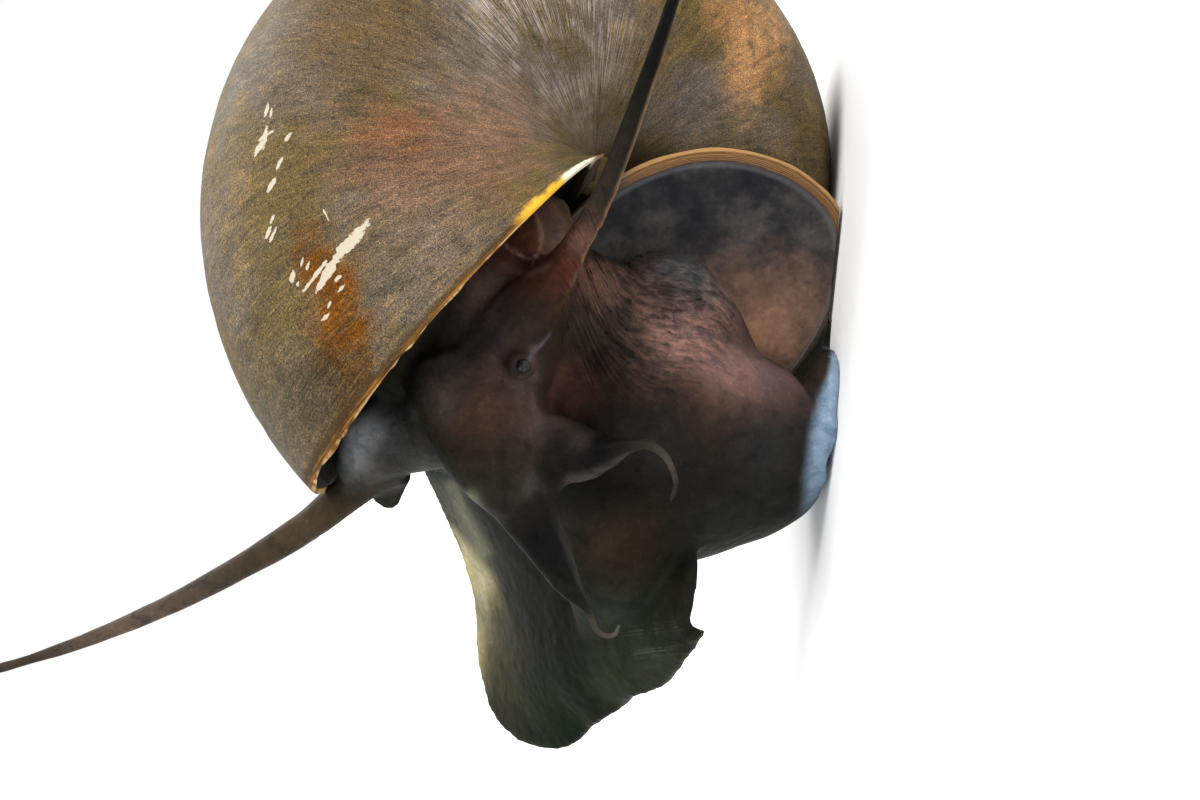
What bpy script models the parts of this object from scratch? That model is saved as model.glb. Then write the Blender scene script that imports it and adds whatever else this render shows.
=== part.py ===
"""An apple snail, life size, crawling with the front of its foot raised and its tentacles out.

Frame: the sole rests on Z = 0 with its centre at the origin. The animal faces -Y, its left is +X.
Sizes are in millimetres until mesh_object puts them into Blender's metres.
"""

import math

import bmesh
import bpy
import numpy as np
from mathutils import Matrix, Vector

MM = 0.001
GAP = 0.3

# Shell: one tube swept round an axis, growing by the same factor each turn.
SHELL_APEX = (-22.5, 9.0, 19.2)
AXIS_TURN = math.radians(13.0)
AXIS_RISE = math.radians(1.15)
WHORL_GROWTH = 2.35
LIP_ANGLE = math.radians(-53.6)
TUBE_RADIUS = 15.5
TUBE_DROP = 31.4
TUBE_HALF_WIDTH = 16.2
TUBE_HALF_HEIGHT = 21.3
TUBE_TILT = math.radians(23.3)
AXIS_CLEARANCE = 0.5
BURIED_TURNS = 0.03
BURIED_SHARE = 0.88
SHELL_WALL = 1.0
COLUMELLA_WALL = 2.4
COLUMELLA_LENGTH = 30.0
COLUMELLA_SLOPE = 0.055
COLUMELLA_TIP = 0.5
WHORL_SEAMS = (-3.75, -3.0, -2.25, -1.5, -0.75, 0.0)
WHORL_RINGS = (8, 10, 14, 20, 30)
WHORL_SIDES = 36
CAVITY_START = -0.34
CAVITY_RINGS = 14
CAVITY_SIDES = 30
LIP_OVERSHOOT = 0.03
MANTLE_START = -0.31
MANTLE_END = -0.055

# Operculum: an egg-shaped horny plate that stands against the base of the shell.
OPERCULUM_CENTRE = (5.8, 5.2, 10.5)
OPERCULUM_LONG = 14.3
OPERCULUM_UPPER = 12.5
OPERCULUM_LOWER = 8.4
OPERCULUM_THICKNESS = 0.9
OPERCULUM_DISH = 0.5
OPERCULUM_ROLL = math.radians(41.6)
OPERCULUM_LEAN = math.radians(7.5)
OPERCULUM_TURN = math.radians(5.0)
OPERCULUM_SIDES = 36
OPERCULUM_SHARES = (0.35, 0.7, 0.94, 1.0)
OPERCULUM_MARGIN = 0.55
OPERCULUM_BEHIND = 12.0

# Sole: a flat pad on the floor, with a narrow tail behind it.
SOLE_HALF_WIDTH = 13.0
SOLE_HALF_LENGTH = 4.7
SOLE_HEIGHT = 3.6
SOLE_EDGE = 0.7
SOLE_SQUARENESS = 3.6
TAIL_CENTRE = (2.0, 7.5)
TAIL_HALF_WIDTH = 4.0
TAIL_HALF_LENGTH = 8.2
TAIL_HEIGHT = 2.2
SOLE_SIDES = 40
SOLE_ROWS = 5
SOLE_TOP_SHARE = 0.25

# Limbs: (x, y, z) of each station along the middle, then half width and half depth there.
COLUMN = (
    ((9.8, 7.0, 33.5), 7.5, 8.0),
    ((10.6, 4.0, 28.0), 8.0, 7.5),
    ((8.8, 1.6, 20.8), 9.0, 6.7),
    ((8.5, -2.7, 13.8), 9.9, 8.5),
    ((6.2, -3.0, 7.2), 8.0, 9.0),
    ((4.8, -2.2, 4.0), 5.9, 9.5),
    ((4.4, -1.7, 2.4), 4.0, 9.8),
    ((4.2, -1.4, 1.0), 2.6, 9.8),
)
RUMP = (
    ((9.2, 6.6, 16.4), 1.9, 1.9),
    ((10.2, 7.7, 13.4), 2.9, 2.7),
    ((9.8, 5.8, 10.0), 2.5, 2.4),
    ((8.4, 2.6, 6.8), 1.6, 1.8),
)
WEB = (
    ((9.5, -7.5, 14.0), 6.5, 6.2),
    ((8.8, -12.8, 14.6), 4.4, 4.4),
    ((4.2, -17.8, 14.6), 1.6, 2.2),
)
NECK = (
    ((13.0, 12.6, 25.6), 4.0, 4.8),
    ((14.2, 8.6, 25.2), 5.0, 5.6),
    ((15.0, 3.8, 25.9), 5.0, 5.5),
    ((16.0, -0.2, 26.6), 4.5, 5.2),
    ((16.8, -2.8, 26.6), 4.1, 4.8),
)
HEAD = (
    ((16.0, 1.0, 26.8), 4.5, 5.0),
    ((17.0, -2.0, 26.1), 4.2, 5.0),
    ((18.4, -4.9, 24.7), 3.9, 4.5),
    ((19.6, -7.2, 23.1), 3.2, 3.6),
    ((20.3, -8.6, 22.0), 2.2, 2.5),
)
SHOULDER = (
    ((14.0, -3.0, 27.5), 3.4, 3.6),
    ((10.8, -4.0, 30.8), 3.3, 3.6),
    ((9.8, -5.6, 33.2), 2.8, 2.9),
    ((8.5, -8.1, 34.8), 1.5, 1.5),
)
TENTACLE_RIGHT = (
    ((9.2, -6.4, 31.8), 2.1, 2.1),
    ((8.1, -8.3, 34.0), 1.55, 1.55),
    ((6.7, -12.3, 38.1), 1.12, 1.12),
    ((4.0, -17.4, 45.1), 0.82, 0.82),
    ((1.4, -21.5, 52.2), 0.54, 0.54),
    ((-0.2, -24.7, 59.4), 0.34, 0.34),
    ((-1.8, -27.0, 66.0), 0.26, 0.26),
)
TENTACLE_LEFT = (
    ((18.0, 1.2, 26.2), 3.2, 3.0),
    ((20.6, 5.0, 24.0), 2.3, 2.2),
    ((21.9, 7.9, 22.0), 1.45, 1.4),
    ((22.7, 10.4, 20.7), 1.0, 1.0),
    ((23.4, 14.0, 19.2), 0.8, 0.8),
    ((24.5, 21.1, 17.3), 0.64, 0.64),
    ((25.6, 27.4, 15.9), 0.45, 0.45),
    ((26.4, 33.6, 15.0), 0.34, 0.34),
    ((26.8, 38.0, 14.8), 0.26, 0.26),
)
PALP_LEFT = (
    ((18.8, -4.4, 21.8), 2.5, 2.4),
    ((20.0, -4.7, 19.2), 2.1, 1.9),
    ((21.8, -4.4, 17.4), 1.2, 1.2),
    ((22.9, -3.9, 16.2), 0.65, 0.65),
    ((23.9, -3.6, 14.8), 0.38, 0.38),
    ((24.9, -4.4, 13.5), 0.3, 0.3),
    ((25.0, -6.0, 12.7), 0.26, 0.26),
    ((24.9, -7.4, 12.9), 0.2, 0.2),
)
PALP_RIGHT = (
    ((18.4, -6.2, 24.2), 2.7, 2.7),
    ((19.0, -8.8, 22.5), 2.3, 2.4),
    ((19.8, -11.4, 20.9), 1.6, 1.7),
    ((20.8, -14.0, 19.2), 0.9, 1.0),
    ((21.4, -15.6, 17.8), 0.44, 0.44),
    ((22.2, -17.1, 16.9), 0.29, 0.29),
    ((22.7, -17.2, 15.9), 0.25, 0.25),
    ((22.7, -16.4, 15.5), 0.2, 0.2),
)
SIPHON = (
    ((16.0, 11.2, 25.4), 2.2, 1.6),
    ((19.0, 10.4, 24.6), 1.9, 1.4),
    ((21.4, 9.4, 23.6), 1.5, 1.2),
)
EYE_STALK_LEFT = (
    ((19.0, 1.2, 24.6), 1.4, 1.4),
    ((21.2, 1.2, 24.2), 1.15, 1.15),
    ((22.8, 1.1, 23.9), 1.0, 1.0),
)
EYE_STALK_RIGHT = (
    ((8.6, -7.4, 31.6), 1.2, 1.2),
    ((7.2, -8.6, 31.8), 1.05, 1.05),
    ((6.2, -9.6, 32.0), 1.0, 1.0),
)
EYE_RADIUS = 0.55

# Mouth: a ring of lip round the end of the snout, with the slit between the palps.
LIP_RING = (1.45, 0.5)
LIP_STEPS = 24
MOUTH_SLIT = (0.4, 1.9, 1.0)

# Front of the foot: a raised sheet held between four margins.
LOBE_FAR_MARGIN = (
    (-8.5, -6.8, 28.7),
    (-12.3, -12.7, 25.2),
    (-14.1, -17.3, 23.3),
    (-14.1, -22.0, 22.6),
    (-13.9, -26.0, 21.2),
)
LOBE_NEAR_MARGIN = (
    (9.5, -8.0, 9.5),
    (13.4, -11.6, 9.6),
    (15.0, -14.4, 9.8),
    (15.6, -16.4, 10.0),
    (16.3, -16.8, 8.8),
)
LOBE_ROOT = (
    (-8.5, -6.8, 28.7),
    (1.0, -6.5, 20.0),
    (9.5, -8.0, 9.5),
)
LOBE_FRONT = (
    (-13.9, -26.0, 21.2),
    (-11.6, -27.6, 19.4),
    (-8.0, -28.0, 17.4),
    (-4.8, -27.3, 15.7),
    (-2.2, -25.6, 14.5),
    (0.2, -25.0, 14.2),
    (2.6, -23.4, 12.6),
    (5.4, -22.6, 12.4),
    (9.1, -21.3, 10.5),
    (13.4, -18.9, 9.6),
    (16.3, -16.8, 8.8),
)
LOBE_THICKNESS = 5.4
LOBE_EDGE = 0.45
LOBE_SIDE_POWER = 0.7
LOBE_FRONT_RISE = 2.2
LOBE_FRONT_POWER = 0.6
LOBE_COLUMNS = 22
LOBE_ROWS = 12

# The slime groove runs in from the front corner of the foot.
GROOVE_REACH = 0.5
GROOVE_DROP = 0.46
GROOVE_BEND = 0.3
GROOVE_STATIONS = 9
GROOVE_RADIUS = 0.5

LIMB_SIDES = 20
THIN_SIDES = 10
RINGS_PER_STATION = 3
TENTACLE_LENGTHS = 4
PALP_LENGTHS = 2
UPRIGHT = (0.0, 1.0, 0.0)
BLOCK_REACH = 80.0
BLOCK_DEPTH = 20.0
THINNEST = 0.25
LIFT = 0.4
PLUG_GAP_TURNS = 0.004
SHARP_ANGLE = math.radians(40.0)

BOX_FACES = [(0, 1, 3, 2), (4, 6, 7, 5), (0, 4, 5, 1), (2, 3, 7, 6), (0, 2, 6, 4), (1, 5, 7, 3)]

MATERIALS = {
    "shell": ((0.12, 0.085, 0.045), 0.45),
    "horn": ((0.22, 0.09, 0.03), 0.4),
    "flesh": ((0.075, 0.05, 0.045), 0.5),
    "mantle": ((0.09, 0.09, 0.07), 0.5),
    "eye": ((0.01, 0.01, 0.01), 0.15),
}


def unit(vector):
    vector = np.asarray(vector, float)
    return vector / np.linalg.norm(vector)


def material(name):
    """The named finish, made the first time that it is asked for."""
    found = bpy.data.materials.get(name)
    if found:
        return found
    colour, roughness = MATERIALS[name]
    made = bpy.data.materials.new(name)
    made.use_nodes = True
    shader = made.node_tree.nodes["Principled BSDF"]
    shader.inputs["Base Color"].default_value = (*colour, 1.0)
    shader.inputs["Roughness"].default_value = roughness
    shader.inputs["Metallic"].default_value = 0.0
    return made


def mesh_object(name, points, faces, finish="flesh"):
    """One closed mesh from points in millimetres, with its faces turned outwards."""
    mesh = bpy.data.meshes.new(name)
    mesh.from_pydata((np.asarray(points) * MM).tolist(), [], faces)
    built = bmesh.new()
    built.from_mesh(mesh)
    bmesh.ops.recalc_face_normals(built, faces=built.faces)
    if built.calc_volume(signed=True) < 0:
        bmesh.ops.reverse_faces(built, faces=built.faces)
    built.to_mesh(mesh)
    built.free()
    made = bpy.data.objects.new(name, mesh)
    bpy.context.scene.collection.objects.link(made)
    made.data.materials.append(material(finish))
    return made


def ring_faces(rings, sides):
    """Quads between neighbouring rings, and one polygon over each end."""
    faces = []
    for ring in range(rings - 1):
        for side in range(sides):
            after = (side + 1) % sides
            first = ring * sides
            faces.append((first + side, first + after, first + sides + after, first + sides + side))
    faces.append(tuple(range(sides)))
    faces.append(tuple(range((rings - 1) * sides, rings * sides)))
    return faces


def boolean(target, others, operation):
    """Applies one Boolean between the target and all the others, which are then removed."""
    tools = bpy.data.collections.new("tools")
    for other in others:
        tools.objects.link(other)
    modifier = target.modifiers.new("boolean", "BOOLEAN")
    modifier.operation = operation
    modifier.solver = "MANIFOLD"
    modifier.operand_type = "COLLECTION"
    modifier.collection = tools
    graph = bpy.context.evaluated_depsgraph_get()
    mesh = bpy.data.meshes.new_from_object(target.evaluated_get(graph))
    target.modifiers.clear()
    target.data = mesh
    for other in others:
        bpy.data.objects.remove(other)
    bpy.data.collections.remove(tools)
    keep_largest(target)
    return target


def islands_of(built):
    """The sets of vertices that edges join."""
    islands = []
    left = set(built.verts)
    while left:
        stack = [left.pop()]
        island = set(stack)
        while stack:
            for edge in stack.pop().link_edges:
                fresh = left.intersection(edge.verts)
                left -= fresh
                island |= fresh
                stack.extend(fresh)
        islands.append(island)
    return islands


def volume_of(island):
    """Six times the volume inside one island's faces."""
    faces = {face for vertex in island for face in vertex.link_faces}
    total = 0.0
    for face in faces:
        first, *others = [vertex.co for vertex in face.verts]
        total += sum(first.dot(b.cross(c)) for b, c in zip(others, others[1:]))
    return total


def keep_largest(target):
    """Drops all but the closed surface that holds the most."""
    built = bmesh.new()
    built.from_mesh(target.data)
    islands = sorted(islands_of(built), key=volume_of, reverse=True)
    for island in islands[1:]:
        bmesh.ops.delete(built, geom=list(island), context="VERTS")
    built.to_mesh(target.data)
    built.free()


def shell_axes():
    """The axis from base to apex, and two directions square to it."""
    axis = np.array(
        [
            -math.cos(AXIS_RISE) * math.cos(AXIS_TURN),
            -math.cos(AXIS_RISE) * math.sin(AXIS_TURN),
            math.sin(AXIS_RISE),
        ]
    )
    out = unit(np.cross((0.0, 1.0, 0.0), axis))
    return axis, out, np.cross(axis, out)


def whorl(start, end, rings, sides, grow=0.0, clearance=AXIS_CLEARANCE):
    """The tube between two places, in turns from the lip: an oval section times growth ** turns.

    One smaller ring more goes before the first, so that the tube's start lies inside the tube before it.
    """
    axis, out, across = shell_axes()
    turns = np.concatenate([[start - BURIED_TURNS], np.linspace(start, end, rings)])
    share = np.where(turns < start, BURIED_SHARE, 1.0)[:, None]
    angle = np.linspace(0.0, 2.0 * math.pi, sides, endpoint=False)
    wide = share * (TUBE_HALF_WIDTH + grow) * np.cos(angle)
    high = share * (TUBE_HALF_HEIGHT + grow) * np.sin(angle)
    radius = TUBE_RADIUS + wide * math.cos(TUBE_TILT) - high * math.sin(TUBE_TILT)
    radius = np.maximum(radius, clearance)
    along = -TUBE_DROP + wide * math.sin(TUBE_TILT) + high * math.cos(TUBE_TILT)
    bearing = LIP_ANGLE - 2.0 * math.pi * turns
    outward = np.cos(bearing)[:, None] * out + np.sin(bearing)[:, None] * across
    section = radius[:, :, None] * outward[:, None, :] + along[:, :, None] * axis
    points = np.array(SHELL_APEX) + (WHORL_GROWTH**turns)[:, None, None] * section
    return mesh_object("whorl", points.reshape(-1, 3), ring_faces(rings + 1, sides), "shell")


def columella(grow=0.0):
    """A slim cone that fills the middle of the coil."""
    axis, out, across = shell_axes()
    angle = np.linspace(0.0, 2.0 * math.pi, WHORL_SIDES // 2, endpoint=False)
    rim = np.cos(angle)[:, None] * out + np.sin(angle)[:, None] * across
    rings = []
    for depth in (COLUMELLA_TIP, COLUMELLA_LENGTH):
        rings.append(np.array(SHELL_APEX) - depth * axis + (COLUMELLA_SLOPE * depth + grow) * rim)
    points = np.concatenate(rings)
    return mesh_object("columella", points, ring_faces(2, len(angle)), "shell")


def whorls(last, grow=0.0):
    """The solid coil from its innermost turn to a seam."""
    pieces = [
        whorl(WHORL_SEAMS[k], WHORL_SEAMS[k + 1], WHORL_RINGS[k], WHORL_SIDES, grow)
        for k in range(last)
    ]
    pieces.append(columella(grow))
    return boolean(pieces[0], pieces[1:], "UNION")


def cavity(start, end, inset, grow):
    """The space inside the last turn, less the earlier turns that bulge into it."""
    tube = whorl(start, end, CAVITY_RINGS, CAVITY_SIDES, -inset, COLUMELLA_WALL + grow)
    return boolean(tube, [whorls(len(WHORL_RINGS) - 1, grow)], "DIFFERENCE")


def shell_solid(grow=0.0):
    """The whole shell, or with grow the shell and a clearance all round it."""
    solid = whorls(len(WHORL_RINGS), grow)
    hollow = cavity(CAVITY_START, LIP_OVERSHOOT, SHELL_WALL + grow, grow)
    return boolean(solid, [hollow], "DIFFERENCE")


def block(name, low, high):
    """A plain box between two corners."""
    corners = [(x, y, z) for x in (low[0], high[0]) for y in (low[1], high[1]) for z in (low[2], high[2])]
    return mesh_object(name, corners, BOX_FACES)


def under_block(top):
    """All that lies below one height."""
    return block("under", (-BLOCK_REACH, -BLOCK_REACH, -BLOCK_DEPTH), (BLOCK_REACH, BLOCK_REACH, top))


def make_shell():
    shell = boolean(shell_solid(), [under_block(0.0)], "DIFFERENCE")
    shell.name = "shell"
    return shell


def operculum_axes():
    """Its long direction, its short direction towards the floor, and the way its inner face looks."""
    lean = np.array([math.sin(OPERCULUM_LEAN), math.cos(OPERCULUM_LEAN), 0.0])
    down = np.array([-math.sin(OPERCULUM_TURN), 0.0, -math.cos(OPERCULUM_TURN)])
    down = unit(down - down.dot(lean) * lean)
    long = math.cos(OPERCULUM_ROLL) * lean + math.sin(OPERCULUM_ROLL) * down
    short = -math.sin(OPERCULUM_ROLL) * lean + math.cos(OPERCULUM_ROLL) * down
    return long, short, unit(np.cross(short, long))


def plate(name, thickness, grow, behind=0.0):
    """The egg-shaped plate, dished by the square of the distance from its middle."""
    long, short, face = operculum_axes()
    angle = np.linspace(0.0, 2.0 * math.pi, OPERCULUM_SIDES, endpoint=False)
    half = np.where(np.sin(angle) > 0, OPERCULUM_LOWER, OPERCULUM_UPPER) + grow
    rim = np.cos(angle)[:, None] * (OPERCULUM_LONG + grow) * long
    rim = rim + (np.sin(angle) * half)[:, None] * short
    layers = []
    for side, order in ((1, OPERCULUM_SHARES), (-1, OPERCULUM_SHARES[::-1])):
        for share in order:
            thinning = OPERCULUM_MARGIN if share == 1.0 else 1.0
            offset = side * thinning * thickness / 2 + OPERCULUM_DISH * (share**2 - 0.5)
            if side < 0:
                offset = offset - behind
            layers.append(np.array(OPERCULUM_CENTRE) + share * rim + offset * face)
    points = np.concatenate(layers)
    return mesh_object(name, points, ring_faces(len(layers), OPERCULUM_SIDES), "horn")


def operculum_clearance():
    """The plate grown all round and carried back to the shell, so that no flesh lies behind it."""
    return plate("clearance", OPERCULUM_THICKNESS + 2 * GAP, GAP, OPERCULUM_BEHIND)


def spline(values, count):
    """A smooth curve through the values: Catmull-Rom, with the end slopes of a parabola."""
    values = np.asarray(values, float)
    before = 2 * values[0] - values[1]
    after = 2 * values[-1] - values[-2]
    padded = np.concatenate([[before], values, [after]])
    place = np.linspace(0.0, len(values) - 1.0, count)
    span = np.minimum(place.astype(int), len(values) - 2)
    share = (place - span)[:, None]
    a, b, c, d = (padded[span + k] for k in range(4))
    line = 2 * b + (c - a) * share
    bend = (2 * a - 5 * b + 4 * c - d) * share**2 + (3 * b - a - 3 * c + d) * share**3
    return 0.5 * (line + bend)


def limb(name, stations, sides=LIMB_SIDES, grow=0.0, piece=0, pieces=1):
    """An oval profile carried along a smooth path, or one of the lengths that it is parted into."""
    table = np.array([(*place, wide, deep) for place, wide, deep in stations])
    rings = max(4, (len(stations) - 1) * RINGS_PER_STATION // pieces)
    table = spline(table, rings * pieces + 1)
    middle = table[:, :3]
    ahead = np.gradient(middle, axis=0)
    ahead = ahead / np.linalg.norm(ahead, axis=1)[:, None]
    table, middle, ahead = (part[piece * rings : (piece + 1) * rings + 1] for part in (table, middle, ahead))
    middle = middle.copy()
    middle[0] += ((GAP / 2 if piece else 0.0) - grow) * ahead[0]
    middle[-1] -= ((GAP / 2 if piece < pieces - 1 else 0.0) - grow) * ahead[-1]
    half = np.maximum(table[:, 3:], THINNEST) + grow
    up = np.array(UPRIGHT) - (ahead @ np.array(UPRIGHT))[:, None] * ahead
    up = up / np.linalg.norm(up, axis=1)[:, None]
    aside = np.cross(ahead, up)
    angle = np.linspace(0.0, 2.0 * math.pi, sides, endpoint=False)
    wide = (half[:, :1] * np.cos(angle))[:, :, None] * up[:, None, :]
    deep = (half[:, 1:] * np.sin(angle))[:, :, None] * aside[:, None, :]
    points = middle[:, None, :] + wide + deep
    return mesh_object(name, points.reshape(-1, 3), ring_faces(len(middle), sides))


def pad(name, centre, half_width, half_length, height, grow=0.0):
    """A flat-bottomed cushion: a squared oval outline under a dome that ends in a thin margin."""
    angle = np.linspace(0.0, 2.0 * math.pi, SOLE_SIDES, endpoint=False)
    power = 2.0 / SOLE_SQUARENESS
    x = np.sign(np.cos(angle)) * np.abs(np.cos(angle)) ** power * (half_width + grow)
    y = np.sign(np.sin(angle)) * np.abs(np.sin(angle)) ** power * (half_length + grow)
    layers = []
    bottom = np.stack([centre[0] + x, centre[1] + y, np.full_like(x, -grow)], axis=-1)
    layers.append(bottom)
    for share in np.linspace(1.0, SOLE_TOP_SHARE, SOLE_ROWS):
        rise = SOLE_EDGE + (height - SOLE_EDGE) * (1.0 - share**2) + grow
        level = [centre[0] + share * x, centre[1] + share * y, np.full_like(x, rise)]
        layers.append(np.stack(level, axis=-1))
    points = np.concatenate(layers)
    return mesh_object(name, points, ring_faces(len(layers), SOLE_SIDES))


def lobe_sheet():
    """The middle of the sheet and its normals: a Coons patch, opposite margins ruled less the corners."""
    root = spline(LOBE_ROOT, LOBE_COLUMNS)
    front = spline(LOBE_FRONT, LOBE_COLUMNS)
    far = spline(LOBE_FAR_MARGIN, LOBE_ROWS)
    near = spline(LOBE_NEAR_MARGIN, LOBE_ROWS)
    u = np.linspace(0.0, 1.0, LOBE_COLUMNS)[None, :, None]
    v = np.linspace(0.0, 1.0, LOBE_ROWS)[:, None, None]
    ruled = (1 - v) * root[None] + v * front[None] + (1 - u) * far[:, None] + u * near[:, None]
    corners = (1 - u) * (1 - v) * root[0] + u * (1 - v) * root[-1]
    corners = corners + (1 - u) * v * front[0] + u * v * front[-1]
    sheet = ruled - corners
    normal = np.cross(np.gradient(sheet, axis=1), np.gradient(sheet, axis=0))
    normal = normal / np.maximum(np.linalg.norm(normal, axis=-1, keepdims=True), 1e-9)
    swell = (4.0 * u * (1 - u)) ** LOBE_SIDE_POWER
    swell = swell * np.minimum(1.0, LOBE_FRONT_RISE * (1 - v)) ** LOBE_FRONT_POWER
    half = LOBE_EDGE + (LOBE_THICKNESS / 2 - LOBE_EDGE) * swell
    return sheet, normal, half


def lobe(name, grow=0.0):
    """The sheet given its thickness, thick in the middle and thin at its edge."""
    sheet, normal, half = lobe_sheet()
    half = half + grow
    faces = []
    layer = LOBE_ROWS * LOBE_COLUMNS
    for row in range(LOBE_ROWS - 1):
        for column in range(LOBE_COLUMNS - 1):
            a = row * LOBE_COLUMNS + column
            b, c, d = a + 1, a + LOBE_COLUMNS + 1, a + LOBE_COLUMNS
            faces += [(a, b, c), (a, c, d)]
            faces += [(layer + a, layer + c, layer + b), (layer + a, layer + d, layer + c)]
    border = list(range(LOBE_COLUMNS))
    border += [row * LOBE_COLUMNS + LOBE_COLUMNS - 1 for row in range(1, LOBE_ROWS)]
    border += [(LOBE_ROWS - 1) * LOBE_COLUMNS + column for column in range(LOBE_COLUMNS - 2, -1, -1)]
    border += [row * LOBE_COLUMNS for row in range(LOBE_ROWS - 2, 0, -1)]
    for here, after in zip(border, border[1:] + border[:1]):
        faces.append((here, layer + here, layer + after, after))
    top = (sheet + half * normal).reshape(-1, 3)
    bottom = (sheet - half * normal).reshape(-1, 3)
    return mesh_object(name, np.concatenate([top, bottom]), faces)


def on_sheet(grid, u, v):
    """A point of the sheet at two shares of its sides, by straight lines between its points."""
    row, column = v * (LOBE_ROWS - 1), u * (LOBE_COLUMNS - 1)
    low, left = min(int(row), LOBE_ROWS - 2), min(int(column), LOBE_COLUMNS - 2)
    row, column = row - low, column - left
    lower = (1 - column) * grid[low, left] + column * grid[low, left + 1]
    upper = (1 - column) * grid[low + 1, left] + column * grid[low + 1, left + 1]
    return (1 - row) * lower + row * upper


def groove():
    """A slim tube along the upper face of the lobe, for cutting the slime groove."""
    sheet, normal, half = lobe_sheet()
    side = np.sign(normal[LOBE_ROWS // 2, LOBE_COLUMNS // 2, 2])
    upper = sheet + side * half * normal
    stations = []
    for u in np.linspace(1.0, GROOVE_REACH, GROOVE_STATIONS):
        v = 1.0 - GROOVE_DROP * (1.0 - u) ** GROOVE_BEND
        stations.append((tuple(on_sheet(upper, u, v)), GROOVE_RADIUS, GROOVE_RADIUS))
    return limb("groove", stations, THIN_SIDES)


def snout_frame():
    """The end of the snout: its middle, and the directions across, up and out of it."""
    end, before = np.array(HEAD[-1][0]), np.array(HEAD[-2][0])
    out = unit(end - before)
    across = unit(np.array(PALP_LEFT[0][0]) - np.array(PALP_RIGHT[0][0]))
    across = unit(across - across.dot(out) * out)
    return end, across, np.cross(out, across), out


def lip_ring(grow=0.0):
    """A ring of lip: a small circle carried round a larger one."""
    centre, across, up, out = snout_frame()
    round_radius, thick = LIP_RING
    thick = thick + grow
    turn = np.linspace(0.0, 2.0 * math.pi, LIP_STEPS, endpoint=False)
    spin = np.linspace(0.0, 2.0 * math.pi, THIN_SIDES, endpoint=False)
    radial = np.cos(turn)[:, None] * across + np.sin(turn)[:, None] * up
    reach = (round_radius + thick * np.cos(spin))[None, :, None] * radial[:, None, :]
    points = centre + reach + (thick * np.sin(spin))[None, :, None] * out
    faces = []
    for k in range(LIP_STEPS):
        for j in range(THIN_SIDES):
            here, after = k * THIN_SIDES, (k + 1) % LIP_STEPS * THIN_SIDES
            beside = (j + 1) % THIN_SIDES
            faces.append((here + j, here + beside, after + beside, after + j))
    return mesh_object("lips", points.reshape(-1, 3), faces)


def mouth_slit():
    """A thin upright box that cuts the opening between the lips."""
    centre, across, up, out = snout_frame()
    wide, high, deep = MOUTH_SLIT
    corners = [
        centre + a * wide / 2 * across + b * high / 2 * up + (c * deep) * out
        for a in (-1, 1)
        for b in (-1, 1)
        for c in (-1, 1)
    ]
    return mesh_object("slit", corners, BOX_FACES)


def ball(name, centre, radius, finish="eye"):
    """A round ball."""
    built = bmesh.new()
    place = Matrix.Translation(Vector(centre) * MM)
    bmesh.ops.create_icosphere(built, subdivisions=2, radius=radius * MM, matrix=place)
    mesh = bpy.data.meshes.new(name)
    built.to_mesh(mesh)
    built.free()
    made = bpy.data.objects.new(name, mesh)
    bpy.context.scene.collection.objects.link(made)
    mesh.materials.append(material(finish))
    return made


def joined(pieces):
    return boolean(pieces[0], pieces[1:], "UNION") if len(pieces) > 1 else pieces[0]


def cut(target, tools):
    return boolean(target, tools, "DIFFERENCE")


def shell_clearance():
    return shell_solid(GAP)


def mantle_plug(grow=0.0):
    """The body inside the last turn, a clearance off the shell's inner wall."""
    return cavity(MANTLE_START, MANTLE_END + grow * PLUG_GAP_TURNS, SHELL_WALL + GAP - grow, GAP - grow)


def column_form(grow=0.0):
    """The thick middle of the foot, with the lump behind it and the web that carries its front."""
    forms = (("column", COLUMN), ("rump", RUMP), ("web", WEB))
    return joined([limb(name, stations, grow=grow) for name, stations in forms])


def sole_form(grow=0.0):
    sole = pad("sole", (0.0, 0.0), SOLE_HALF_WIDTH, SOLE_HALF_LENGTH, SOLE_HEIGHT, grow)
    tail = pad("tail", TAIL_CENTRE, TAIL_HALF_WIDTH, TAIL_HALF_LENGTH, TAIL_HEIGHT, grow)
    return joined([sole, tail])


def neck_form(grow=0.0):
    return limb("neck", NECK, grow=grow)


def head_form(grow=0.0):
    """The snout with its lips, and the shoulder that bears the right tentacle."""
    return joined([limb("head", HEAD, grow=grow), limb("shoulder", SHOULDER, grow=grow), lip_ring(grow)])


def named(target, name):
    target.name = name
    target.data.name = name
    return target


def make_operculum():
    operculum = plate("operculum", OPERCULUM_THICKNESS, 0.0)
    return named(cut(operculum, [under_block(GAP), shell_clearance()]), "operculum")


def make_mantle():
    mantle = named(mantle_plug(), "mantle")
    mantle.data.materials.clear()
    mantle.data.materials.append(material("mantle"))
    return mantle


def make_foot():
    """The sole with its tail, the thick middle, and the raised front."""
    sole = named(cut(sole_form(), [shell_clearance(), operculum_clearance()]), "foot_sole")
    column = column_form()
    near = [shell_clearance(), mantle_plug(GAP), operculum_clearance(), sole_form(GAP), under_block(LIFT)]
    cut(column, near)
    front = cut(lobe("front"), [column_form(GAP), shell_clearance(), operculum_clearance(), sole_form(GAP)])
    cut(front, [groove()])
    return [sole, named(column, "foot_middle"), named(front, "foot_front")]


def make_neck():
    neck = cut(neck_form(), [shell_clearance(), mantle_plug(GAP), column_form(GAP), lobe("lobe", GAP)])
    siphon = cut(limb("siphon", SIPHON), [shell_clearance(), neck_form(GAP)])
    return [named(neck, "neck"), named(siphon, "siphon")]


def make_head():
    near = [mouth_slit(), neck_form(GAP), column_form(GAP), shell_clearance(), lobe("lobe", GAP)]
    return [named(cut(head_form(), near), "head")]


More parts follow.
